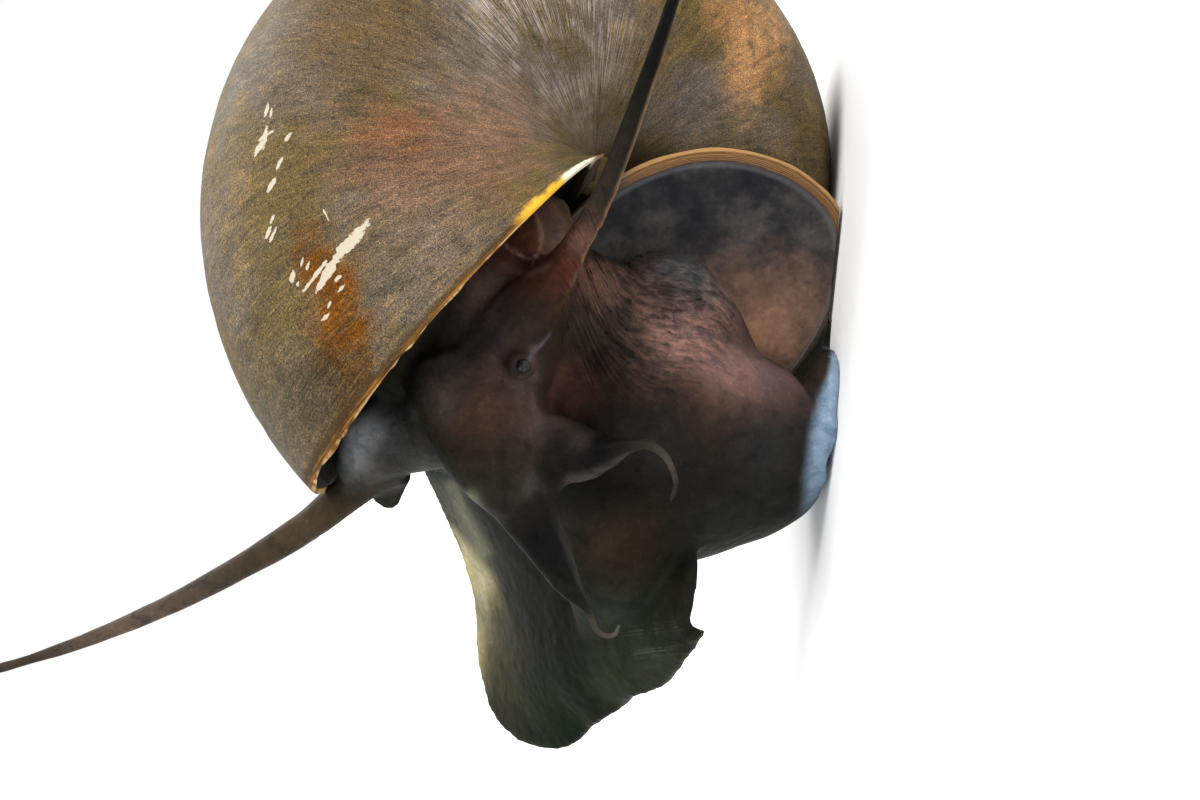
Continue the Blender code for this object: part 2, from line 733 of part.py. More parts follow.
def make_lengths(name, stations, pieces, roots):
    """A feeler parted into lengths, the first of them cut to meet what it grows from."""
    made = [limb(name, stations, THIN_SIDES, piece=piece, pieces=pieces) for piece in range(pieces)]
    cut(made[0], roots)
    return [named(length, f"{name}_{number}") for number, length in enumerate(made, start=1)]


def make_feelers():
    """Both tentacles and both palps."""
    made = []
    for side, stations in (("left", TENTACLE_LEFT), ("right", TENTACLE_RIGHT)):
        roots = [head_form(GAP), neck_form(GAP), column_form(GAP), shell_clearance()]
        made += make_lengths(f"tentacle_{side}", stations, TENTACLE_LENGTHS, roots)
    for side, stations in (("left", PALP_LEFT), ("right", PALP_RIGHT)):
        roots = [head_form(GAP), neck_form(GAP), column_form(GAP), lobe("lobe", GAP)]
        made += make_lengths(f"palp_{side}", stations, PALP_LENGTHS, roots)
    return made


def make_eye(side, stations, tentacle):
    """A short stalk at the root of a tentacle, with a dark eye in its end."""
    centre = stations[-1][0]
    roots = [head_form(GAP), neck_form(GAP), limb("root", tentacle, THIN_SIDES, GAP)]
    stalk = cut(limb("stalk", stations), [*roots, ball("socket", centre, EYE_RADIUS + GAP)])
    return [named(stalk, f"eye_stalk_{side}"), ball(f"eye_{side}", centre, EYE_RADIUS)]


def main():
    for old in list(bpy.data.objects):
        bpy.data.objects.remove(old)
    nodes = [make_shell(), make_operculum(), make_mantle()]
    nodes += make_foot() + make_neck() + make_head() + make_feelers()
    nodes += make_eye("left", EYE_STALK_LEFT, TENTACLE_LEFT)
    nodes += make_eye("right", EYE_STALK_RIGHT, TENTACLE_RIGHT)
    snail = bpy.data.objects.new("apple_snail", None)
    bpy.context.scene.collection.objects.link(snail)
    for node in nodes:
        node.data.shade_smooth()
        node.data.set_sharp_from_angle(angle=SHARP_ANGLE)
        node.parent = snail


main()
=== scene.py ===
"""Looks for the apple snail: one skin over all its flesh, the shell, the operculum and the eyes.

Frame: the sole rests on Z = 0 with its centre at the origin. The animal faces -Y, its left is +X.
Sizes are in millimetres until they go into a mesh, which is in metres.
"""

import math

import bmesh
import bpy
import numpy as np
from mathutils import Matrix


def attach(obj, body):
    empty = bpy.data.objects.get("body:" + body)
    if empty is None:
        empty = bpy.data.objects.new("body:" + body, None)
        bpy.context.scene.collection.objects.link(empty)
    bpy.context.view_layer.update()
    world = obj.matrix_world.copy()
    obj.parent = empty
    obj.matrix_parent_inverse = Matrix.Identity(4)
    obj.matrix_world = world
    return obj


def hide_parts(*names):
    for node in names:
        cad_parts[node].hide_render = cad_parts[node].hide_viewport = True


MM = 0.001
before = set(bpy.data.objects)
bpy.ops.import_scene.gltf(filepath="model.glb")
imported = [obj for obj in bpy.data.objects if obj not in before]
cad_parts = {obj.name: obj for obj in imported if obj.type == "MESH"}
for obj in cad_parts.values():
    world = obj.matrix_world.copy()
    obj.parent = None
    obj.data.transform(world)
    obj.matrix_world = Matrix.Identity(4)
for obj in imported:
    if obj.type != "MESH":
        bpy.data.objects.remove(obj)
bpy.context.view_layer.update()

# Shell: the same tube as the solid's, in finer steps and with a thinner wall.
SHELL_APEX = (-22.5, 9.0, 19.2)
AXIS_TURN = math.radians(13.0)
AXIS_RISE = math.radians(1.15)
WHORL_GROWTH = 2.35
LIP_ANGLE = math.radians(-53.6)
TUBE_RADIUS = 15.5
TUBE_DROP = 31.4
TUBE_HALF_WIDTH = 16.2
TUBE_HALF_HEIGHT = 21.3
TUBE_TILT = math.radians(23.3)
TILT_COS, TILT_SIN = math.cos(TUBE_TILT), math.sin(TUBE_TILT)
AXIS_CLEARANCE = 0.5
SHELL_WALL = 0.95
LIP_WALL = 0.55
LIP_TAPER_TURNS = 0.05
COLUMELLA_WALL = 2.4
COLUMELLA_START = 0.5
COLUMELLA_LENGTH = 30.0
COLUMELLA_SLOPE = 0.055
BURIED_TURNS = 0.03
BURIED_SHARE = 0.88
FINE_SEAMS = (-3.75, -3.0, -2.25, -1.5, -0.75, 0.0)
FINE_RINGS = (14, 20, 32, 60, 150)
FINE_SIDES = 120
COARSE_RINGS = (8, 10, 14, 20, 30)
COARSE_SIDES = 48
CAVITY_START = -0.34
CAVITY_RINGS = 60
CLEARANCE_RINGS = 20
MANTLE_RINGS = 14
LIP_OVERSHOOT = 0.03
MANTLE_START = -0.16
MANTLE_END = -0.055
MANTLE_INSET = 1.25
LIP_RAGGED = 0.0011
# The lip's fray: (rate round the rim, strength, seed) of each noise in it.
LIP_FRAY = ((9.0, 1.0, 3), (26.0, 0.6, 4))
EARLIEST_TURN = -4
PAST_LIP = 0.02
PAST_LIP_PENALTY = 10.0
GROWTH_RIDGE = 0.022
OUTER_SIDE = (0.985, 0.995)
GROWTH_LINES = 300.0
REST_LINES = (0.028, 0.075, 0.13, 0.22, 0.31, 0.43)
REST_WIDTH = 0.0016
GROWTH_LAG = 0.012
REST_DEPTH = 0.09
# Heights over which the relief fades in above the floor.
SHELL_FADE = (0.3, 1.2)
SKIN_FADE = (0.2, 1.0)

# Operculum: the plate that stands against the base of the shell.
OPERCULUM_CENTRE = (5.8, 5.2, 10.5)
OPERCULUM_LONG = 14.3
OPERCULUM_UPPER = 12.5
OPERCULUM_LOWER = 8.4
OPERCULUM_THICKNESS = 0.9
OPERCULUM_DISH = 0.5
OPERCULUM_ROLL = math.radians(41.6)
OPERCULUM_LEAN = math.radians(7.5)
OPERCULUM_TURN = math.radians(5.0)
OPERCULUM_SIDES = 200
OPERCULUM_RINGS = 70
RIM_RINGS = 14
OPERCULUM_LINES = 26.0
OPERCULUM_RIPPLE = 0.012
OPERCULUM_WOBBLE = 0.004
OPERCULUM_CORE = 0.02
OPERCULUM_EDGE = 0.3
OPERCULUM_LIFT = 0.3
CLEARANCE_SIDES = 36
CLEARANCE_SHARES = (0.35, 0.7, 0.94, 1.0)
ROOM_BEHIND = 12.0
RIM_SHARE = 0.9

# Sole: a flat pad on the floor, with a narrow tail behind it. Centre, half width, half length, height.
PADS = {"sole": ((0.0, 0.0), 13.0, 4.7, 3.6), "tail": ((2.0, 7.5), 4.0, 8.2, 2.2)}
SOLE_EDGE = 0.7
SOLE_SQUARENESS = 3.6
PAD_SIDES = 80
PAD_RINGS = 9
PAD_CROWN = 0.25
PAD_SUNK = 0.4

# Limbs: x, y and z of each station along the middle, then half width and half depth there.
LIMBS = {
    "column": (
        (9.8, 7.0, 33.5, 7.5, 8.0), (10.6, 4.0, 28.0, 8.0, 7.5), (8.8, 1.6, 20.8, 9.0, 6.7),
        (8.5, -2.7, 13.8, 9.9, 8.5), (6.2, -3.0, 7.2, 8.0, 9.0), (4.8, -2.2, 4.0, 5.9, 9.5),
        (4.4, -1.7, 2.4, 4.0, 9.8), (4.2, -1.4, 1.0, 2.6, 9.8),
    ),
    "rump": (
        (9.2, 6.6, 16.4, 1.9, 1.9), (10.2, 7.7, 13.4, 2.9, 2.7), (9.8, 5.8, 10.0, 2.5, 2.4),
        (8.4, 2.6, 6.8, 1.6, 1.8),
    ),
    "web": (
        (9.5, -7.5, 14.0, 6.5, 6.2), (8.8, -12.8, 14.6, 4.4, 4.4), (4.2, -17.8, 14.6, 1.6, 2.2),
    ),
    "neck": (
        (13.0, 12.6, 25.6, 4.0, 4.8), (14.2, 8.6, 25.2, 5.0, 5.6), (15.0, 3.8, 25.9, 5.0, 5.5),
        (16.0, -0.2, 26.6, 4.5, 5.2), (16.8, -2.8, 26.6, 4.1, 4.8),
    ),
    "head": (
        (16.0, 1.0, 26.8, 4.5, 5.0), (17.0, -2.0, 26.1, 4.2, 5.0), (18.4, -4.9, 24.7, 3.9, 4.5),
        (19.6, -7.2, 23.1, 3.2, 3.6), (20.3, -8.6, 22.0, 2.2, 2.5),
    ),
    "shoulder": (
        (14.0, -3.0, 27.5, 3.4, 3.6), (10.8, -4.0, 30.8, 3.3, 3.6), (9.8, -5.6, 33.2, 2.8, 2.9),
        (8.5, -8.1, 34.8, 1.5, 1.5),
    ),
    "siphon": (
        (16.0, 11.2, 25.4, 2.2, 1.6), (19.0, 10.4, 24.6, 1.9, 1.4), (21.4, 9.4, 23.6, 1.5, 1.2),
    ),
    "stalk_left": (
        (19.0, 1.2, 24.6, 1.4, 1.4), (21.2, 1.2, 24.2, 1.15, 1.15), (22.8, 1.1, 23.9, 1.0, 1.0),
    ),
    "stalk_right": (
        (8.6, -7.4, 31.6, 1.2, 1.2), (7.2, -8.6, 31.8, 1.05, 1.05), (6.2, -9.6, 32.0, 1.0, 1.0),
    ),
}
# Feelers: how far along the remeshed skin goes, then the stations as above.
FEELERS = {
    "tentacle_left": (0.44, (
        (18.0, 1.2, 26.2, 3.2, 3.0), (20.6, 5.0, 24.0, 2.3, 2.2), (21.9, 7.9, 22.0, 1.45, 1.4),
        (22.7, 10.4, 20.7, 1.0, 1.0), (23.4, 14.0, 19.2, 0.8, 0.8), (24.5, 21.1, 17.3, 0.64, 0.64),
        (25.6, 27.4, 15.9, 0.45, 0.45), (26.4, 33.6, 15.0, 0.34, 0.34), (26.8, 38.0, 14.8, 0.26, 0.26),
    )),
    "tentacle_right": (0.4, (
        (9.2, -6.4, 31.8, 2.1, 2.1), (8.1, -8.3, 34.0, 1.55, 1.55), (6.7, -12.3, 38.1, 1.12, 1.12),
        (4.0, -17.4, 45.1, 0.82, 0.82), (1.4, -21.5, 52.2, 0.54, 0.54),
        (-0.2, -24.7, 59.4, 0.34, 0.34), (-1.8, -27.0, 66.0, 0.26, 0.26),
    )),
    "palp_left": (0.33, (
        (18.8, -4.4, 21.8, 2.5, 2.4), (20.0, -4.7, 19.2, 2.1, 1.9), (21.8, -4.4, 17.4, 1.2, 1.2),
        (22.9, -3.9, 16.2, 0.65, 0.65), (23.9, -3.6, 14.8, 0.36, 0.36), (24.9, -4.4, 13.5, 0.27, 0.27),
        (25.0, -6.0, 12.7, 0.21, 0.21), (24.9, -7.4, 12.9, 0.16, 0.16),
    )),
    "palp_right": (0.4, (
        (18.4, -6.2, 24.2, 2.7, 2.7), (19.0, -8.8, 22.5, 2.3, 2.4), (19.8, -11.4, 20.9, 1.6, 1.7),
        (20.8, -14.0, 19.2, 0.9, 1.0), (21.4, -15.6, 17.8, 0.27, 0.27),
        (22.2, -17.1, 16.9, 0.21, 0.21), (22.7, -17.2, 15.9, 0.17, 0.17),
        (22.7, -16.4, 15.5, 0.12, 0.12),
    )),
}
EYE_RADIUS = 0.55
EYE_SUNK = 0.12

# Front of the foot: a raised sheet held between four margins.
LOBE_FAR_MARGIN = (
    (-8.5, -6.8, 28.7), (-12.3, -12.7, 25.2), (-14.1, -17.3, 23.3), (-14.1, -22.0, 22.6),
    (-13.9, -26.0, 21.2),
)
LOBE_NEAR_MARGIN = (
    (9.5, -8.0, 9.5), (13.4, -11.6, 9.6), (15.0, -14.4, 9.8), (15.6, -16.4, 10.0), (16.3, -16.8, 8.8),
)
LOBE_ROOT = (
    (-8.5, -6.8, 28.7), (1.0, -6.5, 20.0), (9.5, -8.0, 9.5),
)
LOBE_FRONT = (
    (-13.9, -26.0, 21.2), (-11.6, -27.6, 19.4), (-8.0, -28.0, 17.4), (-4.8, -27.3, 15.7),
    (-2.2, -25.6, 14.5), (0.2, -25.0, 14.2), (2.6, -23.4, 12.6), (5.4, -22.6, 12.4),
    (9.1, -21.3, 10.5), (13.4, -18.9, 9.6), (16.3, -16.8, 8.8),
)
LOBE_THICKNESS = 5.4
LOBE_EDGE = 0.45
LOBE_COLUMNS = 90
LOBE_ROWS = 60
NICK_POWER = 7
GROOVE_REACH = 0.72
GROOVE_DROP = 0.46
GROOVE_BEND = 0.3
GROOVE_POINTS = 160
GROOVE_WIDTH = 2.0
GROOVE_DEPTH = 0.14
GROOVE_FLOOR = 0.35
GROOVE_FADE = (0.1, 0.95)

# Skin: how finely it is made, and how far each feeler's fine tube laps over its root.
SKIN_VOXEL = 0.335
SKIN_SMOOTHING = 22
SMOOTH_IN = 0.5
SMOOTH_OUT = -0.52
LIMB_SIDES = 40
RINGS_PER_STATION = 8
SPLINE_STEPS = 8
FEELER_SIDES = 28
# Pebbling of the skin: (height, size, seed) of each noise in it.
SKIN_PEBBLES = ((0.03, 0.8, 51), (0.05, 2.6, 52))
SKIN_CLEARANCE = 0.12
FEELER_LAP = 0.12

# Folds of the flank: steep beside the neck, level under the lump and falling again towards the sole.
FOLD_MIDDLE = (7.6, 14.2)
FOLD_REACH = (5.0, 9.5)
FOLD_SPACING = 0.75
FOLD_LENGTH = 3.0
FOLD_DEPTH = 0.15
FOLD_SHARPNESS = 2.2
FOLD_POWER = 1.4
FOLD_SIDE = (5.0, 8.0)
FOLD_SWEEP = np.linspace(0.0, 40.0, 401)
LEVEL_SLOPE = 0.15
NECK_SLOPE = 1.85
NECK_SLOPE_PLACE = 19.1
NECK_SLOPE_REACH = 2.6
SOLE_SLOPE = 0.9
SOLE_SLOPE_START = 11.1
SOLE_SLOPE_END = 7.4

# Lines drawn on the skin: ((y, z) of each point, half width, height, colour, strength, least x).
DRAWN_LINES = (
    (
        ((9.9, 26.1), (9.2, 25.2), (8.7, 24.1), (8.9, 23.6), (9.5, 23.3)),
        *(0.1, 0.12, (0.26, 0.17, 0.14), 0.6, 17.0),
    ),
    (((8.1, 25.8), (7.7, 24.6), (7.8, 23.6), (8.3, 22.8)), 0.3, 0.06, (0.11, 0.055, 0.045), 0.5, 17.0),
    # Painted highlight: the pale bluish line by the left eye stalk stands for light on a rim; its height
    # raises that rim.
    (((3.6, 22.0), (2.7, 22.6), (2.2, 23.2), (1.4, 23.6)), 0.18, 0.08, (0.1, 0.1, 0.12), 0.5, 18.0),
    (((2.2, 23.2), (0.4, 22.9), (-1.6, 22.7), (-3.0, 22.0)), 0.35, 0.05, (0.08, 0.052, 0.048), 0.5, 17.0),
    (((-8.4, 26.6), (-10.5, 25.4), (-13.2, 23.6)), 0.5, 0.0, (0.2, 0.2, 0.14), 0.5, -30.0),
    (((-12.0, 26.0), (-14.0, 24.4), (-15.7, 23.0)), 0.45, 0.05, (0.28, 0.27, 0.19), 0.5, -30.0),
)
# Creases under the lump, sunk and darkened with painted shade: ((y, z) of each point, half width, height,
# strength).
CREASES = (
    (((6.7, 16.2), (6.5, 15.2), (6.2, 13.7), (6.2, 12.1), (6.7, 10.4)), 0.16, -0.24, 0.75),
    (((5.2, 15.1), (5.6, 14.0), (5.5, 12.8), (5.3, 11.5)), 0.14, -0.18, 0.6),
    (((5.9, 19.1), (4.8, 18.2), (3.9, 17.4), (3.2, 16.3)), 0.17, -0.2, 0.55),
    (((5.6, 17.8), (4.8, 17.0), (4.1, 16.1)), 0.13, -0.15, 0.5),
    (((7.1, 18.5), (6.1, 18.0), (5.3, 17.3)), 0.13, -0.12, 0.5),
    (((8.0, 14.7), (7.8, 13.2), (7.5, 11.6)), 0.13, -0.13, 0.6),
    (((7.2, 15.2), (7.1, 13.4), (6.9, 11.7), (7.2, 10.7)), 0.13, -0.16, 0.65),
    (((6.7, 10.1), (6.0, 8.8), (5.0, 7.7), (4.1, 6.7)), 0.13, -0.1, 0.35),
    (((6.2, 10.5), (5.5, 9.4), (4.6, 8.5)), 0.12, -0.09, 0.35),
)
# Painted shade: the dark colour laid along each crease.
CREASE_PAINTED_SHADE = (0.016, 0.012, 0.012)
CREASE_LEAST_X = 7.0
SKIN_LINES = DRAWN_LINES + tuple(
    (path, width, height, CREASE_PAINTED_SHADE, strength, CREASE_LEAST_X)
    for path, width, height, strength in CREASES
)
LINE_POINTS = 60
LINE_FACING = 0.1
MOUTH_PLACE = (22.4, -7.4, 22.4)
MOUTH_ALONG = (0.1, 0.85, 0.5)
MOUTH_REACH = 2.0
SLIT_DEPTH = 0.42
SLIT_SIZE = (0.95, 0.26)
LIPS_HEIGHT = 0.2
LIPS_SIZE = (1.5, 0.8)
LIPS_WIDTH = 0.36
UPRIGHT = (0.0, 1.0, 0.0)
BLOCK_REACH = 90.0
BLOCK_DEPTH = 30.0
BOX_FACES = ((0, 1, 3, 2), (4, 6, 7, 5), (0, 4, 5, 1), (2, 3, 7, 6), (0, 2, 6, 4), (1, 5, 7, 3))


def unit(vector):
    vector = np.asarray(vector, float)
    return vector / np.linalg.norm(vector)


def smoothstep(low, high, value):
    """0 below low, 1 above high, and 3 s^2 - 2 s^3 of the share s between."""
    share = np.clip((value - low) / (high - low), 0.0, 1.0)
    return share * share * (3.0 - 2.0 * share)


def bell(value, width, power=2):
    """1 at zero, falling off on both sides as exp(-(value / width)^power)."""
    return np.exp(-((value / width) ** power))


def units(vectors):
    """Each vector made one long, along the last axis."""
    return vectors / np.maximum(np.linalg.norm(vectors, axis=-1, keepdims=True), 1e-9)


def full_circle(sides):
    """Angles evenly spaced once round."""
    return np.linspace(0.0, 2.0 * math.pi, sides, endpoint=False)


def hash_noise(points, size, seed=0):
    """Value noise from -1 to 1: random numbers at the corners of cubes of one size, blended smoothly."""
    place = np.asarray(points, float) / size + 1000.0
    cell = np.floor(place).astype(np.int64)
    share = place - cell
    share = share * share * (3.0 - 2.0 * share)
    total = np.zeros(len(place))
    for corner in np.ndindex(2, 2, 2):
        x, y, z = (cell + corner).T
        value = (x * 73856093) ^ (y * 19349663) ^ (z * 83492791) ^ (seed * 2654435761)
        value = (value ^ (value >> 13)) * 1274126177 & 0x7FFFFFFF
        value = (value ^ (value >> 15)) * 2246822519 & 0x7FFFFFFF
        weight = np.prod(np.where(corner, share, 1.0 - share), axis=1)
        total += weight * (value / 0x3FFFFFFF - 1.0)
    return total


def rim_noise(angle, rate, seed):
    """Noise round a rim, finer as its rate is higher."""
    return hash_noise(np.stack([angle * rate, 0 * angle, 0 * angle], axis=1), 1.0, seed)


def linked(name, data):
    """A new object in the scene, made of a mesh, a light or a camera."""
    made = bpy.data.objects.new(name, data)
    bpy.context.scene.collection.objects.link(made)
    return made


def mesh_object(name, points, faces):
    """One mesh from points in millimetres, its faces turned outwards."""
    mesh = bpy.data.meshes.new(name)
    mesh.from_pydata((np.asarray(points, float) * MM).tolist(), [], [tuple(face) for face in faces])
    built = bmesh.new()
    built.from_mesh(mesh)
    bmesh.ops.recalc_face_normals(built, faces=built.faces)
    if built.calc_volume(signed=True) < 0:
        bmesh.ops.reverse_faces(built, faces=built.faces)
    built.to_mesh(mesh)
    built.free()
    return linked(name, mesh)


def ring_faces(rings, sides):
    """Quads between neighbouring rings, and one polygon over each end."""
    starts = (np.arange(rings - 1) * sides)[:, None]
    first = starts + np.arange(sides)
    after = starts + (np.arange(sides) + 1) % sides
    quads = np.stack([first, after, after + sides, first + sides], axis=-1).reshape(-1, 4)
    ends = [tuple(range(sides)), tuple(range((rings - 1) * sides, rings * sides))]
    return [*map(tuple, quads.tolist()), *ends]


def applied(target):
    """Gives the object the mesh that its modifiers make."""
    graph = bpy.context.evaluated_depsgraph_get()
    mesh = bpy.data.meshes.new_from_object(target.evaluated_get(graph))
    target.modifiers.clear()
    target.data = mesh
    return target


def boolean(target, others, operation):
    """One Boolean between the target and all the others, which are then removed."""
    tools = bpy.data.collections.new("tools")
    for other in others:
        tools.objects.link(other)
    modifier = target.modifiers.new("boolean", "BOOLEAN")
    modifier.operation = operation
    modifier.solver = "MANIFOLD"
    modifier.operand_type = "COLLECTION"
    modifier.collection = tools
    applied(target)
    for other in others:
        bpy.data.objects.remove(other)
    bpy.data.collections.remove(tools)
    return target


def keep_largest(target):
    """Drops all but the surface with the most points."""
    built = bmesh.new()
    built.from_mesh(target.data)
    left = set(built.verts)
    islands = []
    while left:
        stack = [left.pop()]
        island = set(stack)
        while stack:
            for edge in stack.pop().link_edges:
                fresh = left.intersection(edge.verts)
                left -= fresh
                island |= fresh
                stack.extend(fresh)
        islands.append(island)
    for island in sorted(islands, key=len)[:-1]:
        bmesh.ops.delete(built, geom=list(island), context="VERTS")
    built.to_mesh(target.data)
    built.free()
    return target


def read_vectors(target, kind):
    """One vector for each of the object's points."""
    vectors = np.empty(len(target.data.vertices) * 3)
    target.data.vertices.foreach_get(kind, vectors)
    return vectors.reshape(-1, 3)


def points_of(target):
    """The object's points in millimetres."""
    return read_vectors(target, "co") / MM


def normals_of(target):
    return read_vectors(target, "normal")


def set_points(target, points):
    target.data.vertices.foreach_set("co", (points * MM).ravel())
    target.data.update()


def set_values(target, **fields):
    """Numbers for each point, which a material reads by their names."""
    for name, values in fields.items():
        layer = target.data.attributes.new(name, "FLOAT", "POINT")
        layer.data.foreach_set("value", np.asarray(values, np.float32))


def set_colour(target, name, colours):
    """A colour for each point, which a material reads by its name."""
    layer = target.data.color_attributes.new(name, "FLOAT_COLOR", "POINT")
    filled = np.ones((len(colours), 4), np.float32)
    filled[:, :3] = colours
    layer.data.foreach_set("color", filled.ravel())


# Shell


def shell_axes():
    """The axis from base to apex, and two directions square to it."""
    level = math.cos(AXIS_RISE)
    axis = np.array((-level * math.cos(AXIS_TURN), -level * math.sin(AXIS_TURN), math.sin(AXIS_RISE)))
    out = unit(np.cross(UPRIGHT, axis))
    return axis, out, np.cross(axis, out)


def whorl(start, end, rings, sides, grow=0.0, clearance=AXIS_CLEARANCE, ragged=0.0):
    """The tube between two places, in turns from the lip: an oval section times growth ** turns.

    One smaller ring more goes before the first, so that the tube's start lies inside the tube before it.
    grow widens the oval: one number, or a function of the place in turns. ragged moves the last ring's
    points to and fro along the tube.
    """
    axis, out, across = shell_axes()
    angle = full_circle(sides)
    turns = np.concatenate([[start - BURIED_TURNS], np.linspace(start, end, rings)])[:, None]
    turns = np.repeat(turns, sides, axis=1)
    share = np.where(turns < start, BURIED_SHARE, 1.0)
    turns[-1] += ragged * sum(strength * rim_noise(angle, rate, seed) for rate, strength, seed in LIP_FRAY)
    grown = grow(turns) if callable(grow) else grow
    wide = share * (TUBE_HALF_WIDTH + grown) * np.cos(angle)
    high = share * (TUBE_HALF_HEIGHT + grown) * np.sin(angle)
    radius = np.maximum(TUBE_RADIUS + wide * TILT_COS - high * TILT_SIN, clearance)
    along = -TUBE_DROP + wide * TILT_SIN + high * TILT_COS
    bearing = LIP_ANGLE - 2.0 * math.pi * turns
    outward = np.cos(bearing)[..., None] * out + np.sin(bearing)[..., None] * across
    section = radius[..., None] * outward + along[..., None] * axis
    points = np.array(SHELL_APEX) + (WHORL_GROWTH**turns)[..., None] * section
    return mesh_object("whorl", points.reshape(-1, 3), ring_faces(rings + 1, sides))


def columella(grow=0.0):
    """A slim cone that fills the middle of the coil: its radius is a slope times the depth."""
    axis, out, across = shell_axes()
    angle = full_circle(COARSE_SIDES)
    rim = np.cos(angle)[:, None] * out + np.sin(angle)[:, None] * across
    apex = np.array(SHELL_APEX)
    depths = (COLUMELLA_START, COLUMELLA_LENGTH)
    rings = [apex - depth * axis + (COLUMELLA_SLOPE * depth + grow) * rim for depth in depths]
    return mesh_object("columella", np.concatenate(rings), ring_faces(2, len(angle)))


def whorls(last, rings, sides, grow=0.0, ragged=0.0):
    """The solid coil from its tip to one of its seams."""
    pieces = []
    for k in range(last):
        fray = ragged if FINE_SEAMS[k + 1] == 0.0 else 0.0
        pieces.append(whorl(FINE_SEAMS[k], FINE_SEAMS[k + 1], rings[k], sides, grow, ragged=fray))
    pieces.append(columella(grow))
    return boolean(pieces[0], pieces[1:], "UNION")


def thinning(turns):
    """How far the wall's inner side lies from its outer side: less and less towards the lip."""
    return -(LIP_WALL + (SHELL_WALL - LIP_WALL) * smoothstep(0.0, LIP_TAPER_TURNS, -turns))


def cavity(start, end, rings, sides, grow, coils):
    """The space inside the last turn, less the earlier turns that bulge into it."""
    tube = whorl(start, end, rings, sides, grow, COLUMELLA_WALL)
    return boolean(tube, [coils], "DIFFERENCE")


def coarse_coil(last=len(COARSE_RINGS)):
    """The coil up to one of its seams in coarse steps, with a little room all round."""
    return whorls(last, COARSE_RINGS, COARSE_SIDES, SKIN_CLEARANCE)


def coarse_cavity(start, end, rings, grow):
    """A stretch of the space inside the last turn, in coarse steps."""
    return cavity(start, end, rings, COARSE_SIDES, grow, coarse_coil(len(COARSE_RINGS) - 1))


def shell_clearance():
    """The whole shell in coarse steps with a little room all round, for parting the flesh from it."""
    inset = -SHELL_WALL - SKIN_CLEARANCE
    hollow = coarse_cavity(CAVITY_START, LIP_OVERSHOOT, CLEARANCE_RINGS, inset)
    return boolean(coarse_coil(), [hollow], "DIFFERENCE")


def tube_place(points):
    """Where each point lies on the tube: turns from the lip, angle round the oval, share of the oval.

    A point's bearing about the axis gives its place within a turn. Of the turns that it may be in, the one
    whose oval passes nearest to it is kept.
    """
    axis, out, across = shell_axes()
    from_apex = points - np.array(SHELL_APEX)
    depth = from_apex @ axis
    flat = from_apex - depth[:, None] * axis
    radius = np.linalg.norm(flat, axis=1)
    bearing = np.arctan2(flat @ across, flat @ out)
    within = np.mod((LIP_ANGLE - bearing) / (2.0 * math.pi), 1.0)
    best = np.full(len(points), np.inf)
    found = np.zeros((3, len(points)))
    for turn in range(EARLIEST_TURN, 1):
        turns = within + turn
        turns = np.where(turns > 0.5, turns - 1.0, turns)
        scale = WHORL_GROWTH**turns
        x, y = radius / scale - TUBE_RADIUS, depth / scale + TUBE_DROP
        wide = (x * TILT_COS + y * TILT_SIN) / TUBE_HALF_WIDTH
        high = (-x * TILT_SIN + y * TILT_COS) / TUBE_HALF_HEIGHT
        share = np.hypot(wide, high)
        off = np.abs(share - 1.0) * scale + np.where(turns > PAST_LIP, PAST_LIP_PENALTY, 0.0)
        nearer = off < best
        best = np.where(nearer, off, best)
        for row, value in enumerate((turns, np.arctan2(high, wide), share)):
            found[row] = np.where(nearer, value, found[row])
    return found


def growth_relief(turns, angle, share):
    """Fine ridges along the growth lines, and a step at each place where growth rested, in millimetres."""
    lag = GROWTH_LAG * np.sin(angle) ** 2
    lines = np.stack([(turns + lag) * GROWTH_LINES, 1.5 * np.sin(angle), 1.5 * np.cos(angle)], axis=1)
    broad = lines * np.array([0.18, 0.8, 0.8])
    relief = GROWTH_RIDGE * (hash_noise(lines, 1.0, 11) + 1.4 * hash_noise(broad, 1.0, 12))
    for place in REST_LINES:
        relief -= REST_DEPTH * bell(turns + lag + place, REST_WIDTH)
    return relief * smoothstep(*OUTER_SIDE, share)


def make_shell():
    """Coil, less its cavity and what lies under the floor, with its relief and what its finish reads."""
    shell = whorls(len(FINE_RINGS), FINE_RINGS, FINE_SIDES, ragged=LIP_RAGGED)
    coils = whorls(len(FINE_RINGS) - 1, FINE_RINGS, FINE_SIDES)
    hollow = cavity(CAVITY_START, LIP_OVERSHOOT, CAVITY_RINGS, FINE_SIDES, thinning, coils)
    boolean(shell, [hollow], "DIFFERENCE")
    boolean(shell, [under_floor(0.0)], "DIFFERENCE")
    keep_largest(shell)
    points = points_of(shell)
    turns, angle, share = tube_place(points)
    relief = growth_relief(turns, angle, share) * smoothstep(*SHELL_FADE, points[:, 2])
    set_points(shell, points + relief[:, None] * normals_of(shell))
    set_values(shell, turns=turns, round_x=np.cos(angle), round_y=np.sin(angle), depth_in_tube=share)
    return shell


def under_floor(top):
    """A block whose upper face is at one height, for cutting away all that lies under it."""
    side = (-BLOCK_REACH, BLOCK_REACH)
    corners = [(x, y, z) for x in side for y in side for z in (-BLOCK_DEPTH, top)]
    return mesh_object("under", corners, BOX_FACES)


# Operculum


def operculum_axes():
    """Its long direction, its short direction towards the floor, and the way its inner face looks."""
    lean = np.array([math.sin(OPERCULUM_LEAN), math.cos(OPERCULUM_LEAN), 0.0])
    down = np.array([-math.sin(OPERCULUM_TURN), 0.0, -math.cos(OPERCULUM_TURN)])
    down = unit(down - down.dot(lean) * lean)
    long = math.cos(OPERCULUM_ROLL) * lean + math.sin(OPERCULUM_ROLL) * down
    short = -math.sin(OPERCULUM_ROLL) * lean + math.cos(OPERCULUM_ROLL) * down
    return long, short, unit(np.cross(short, long))


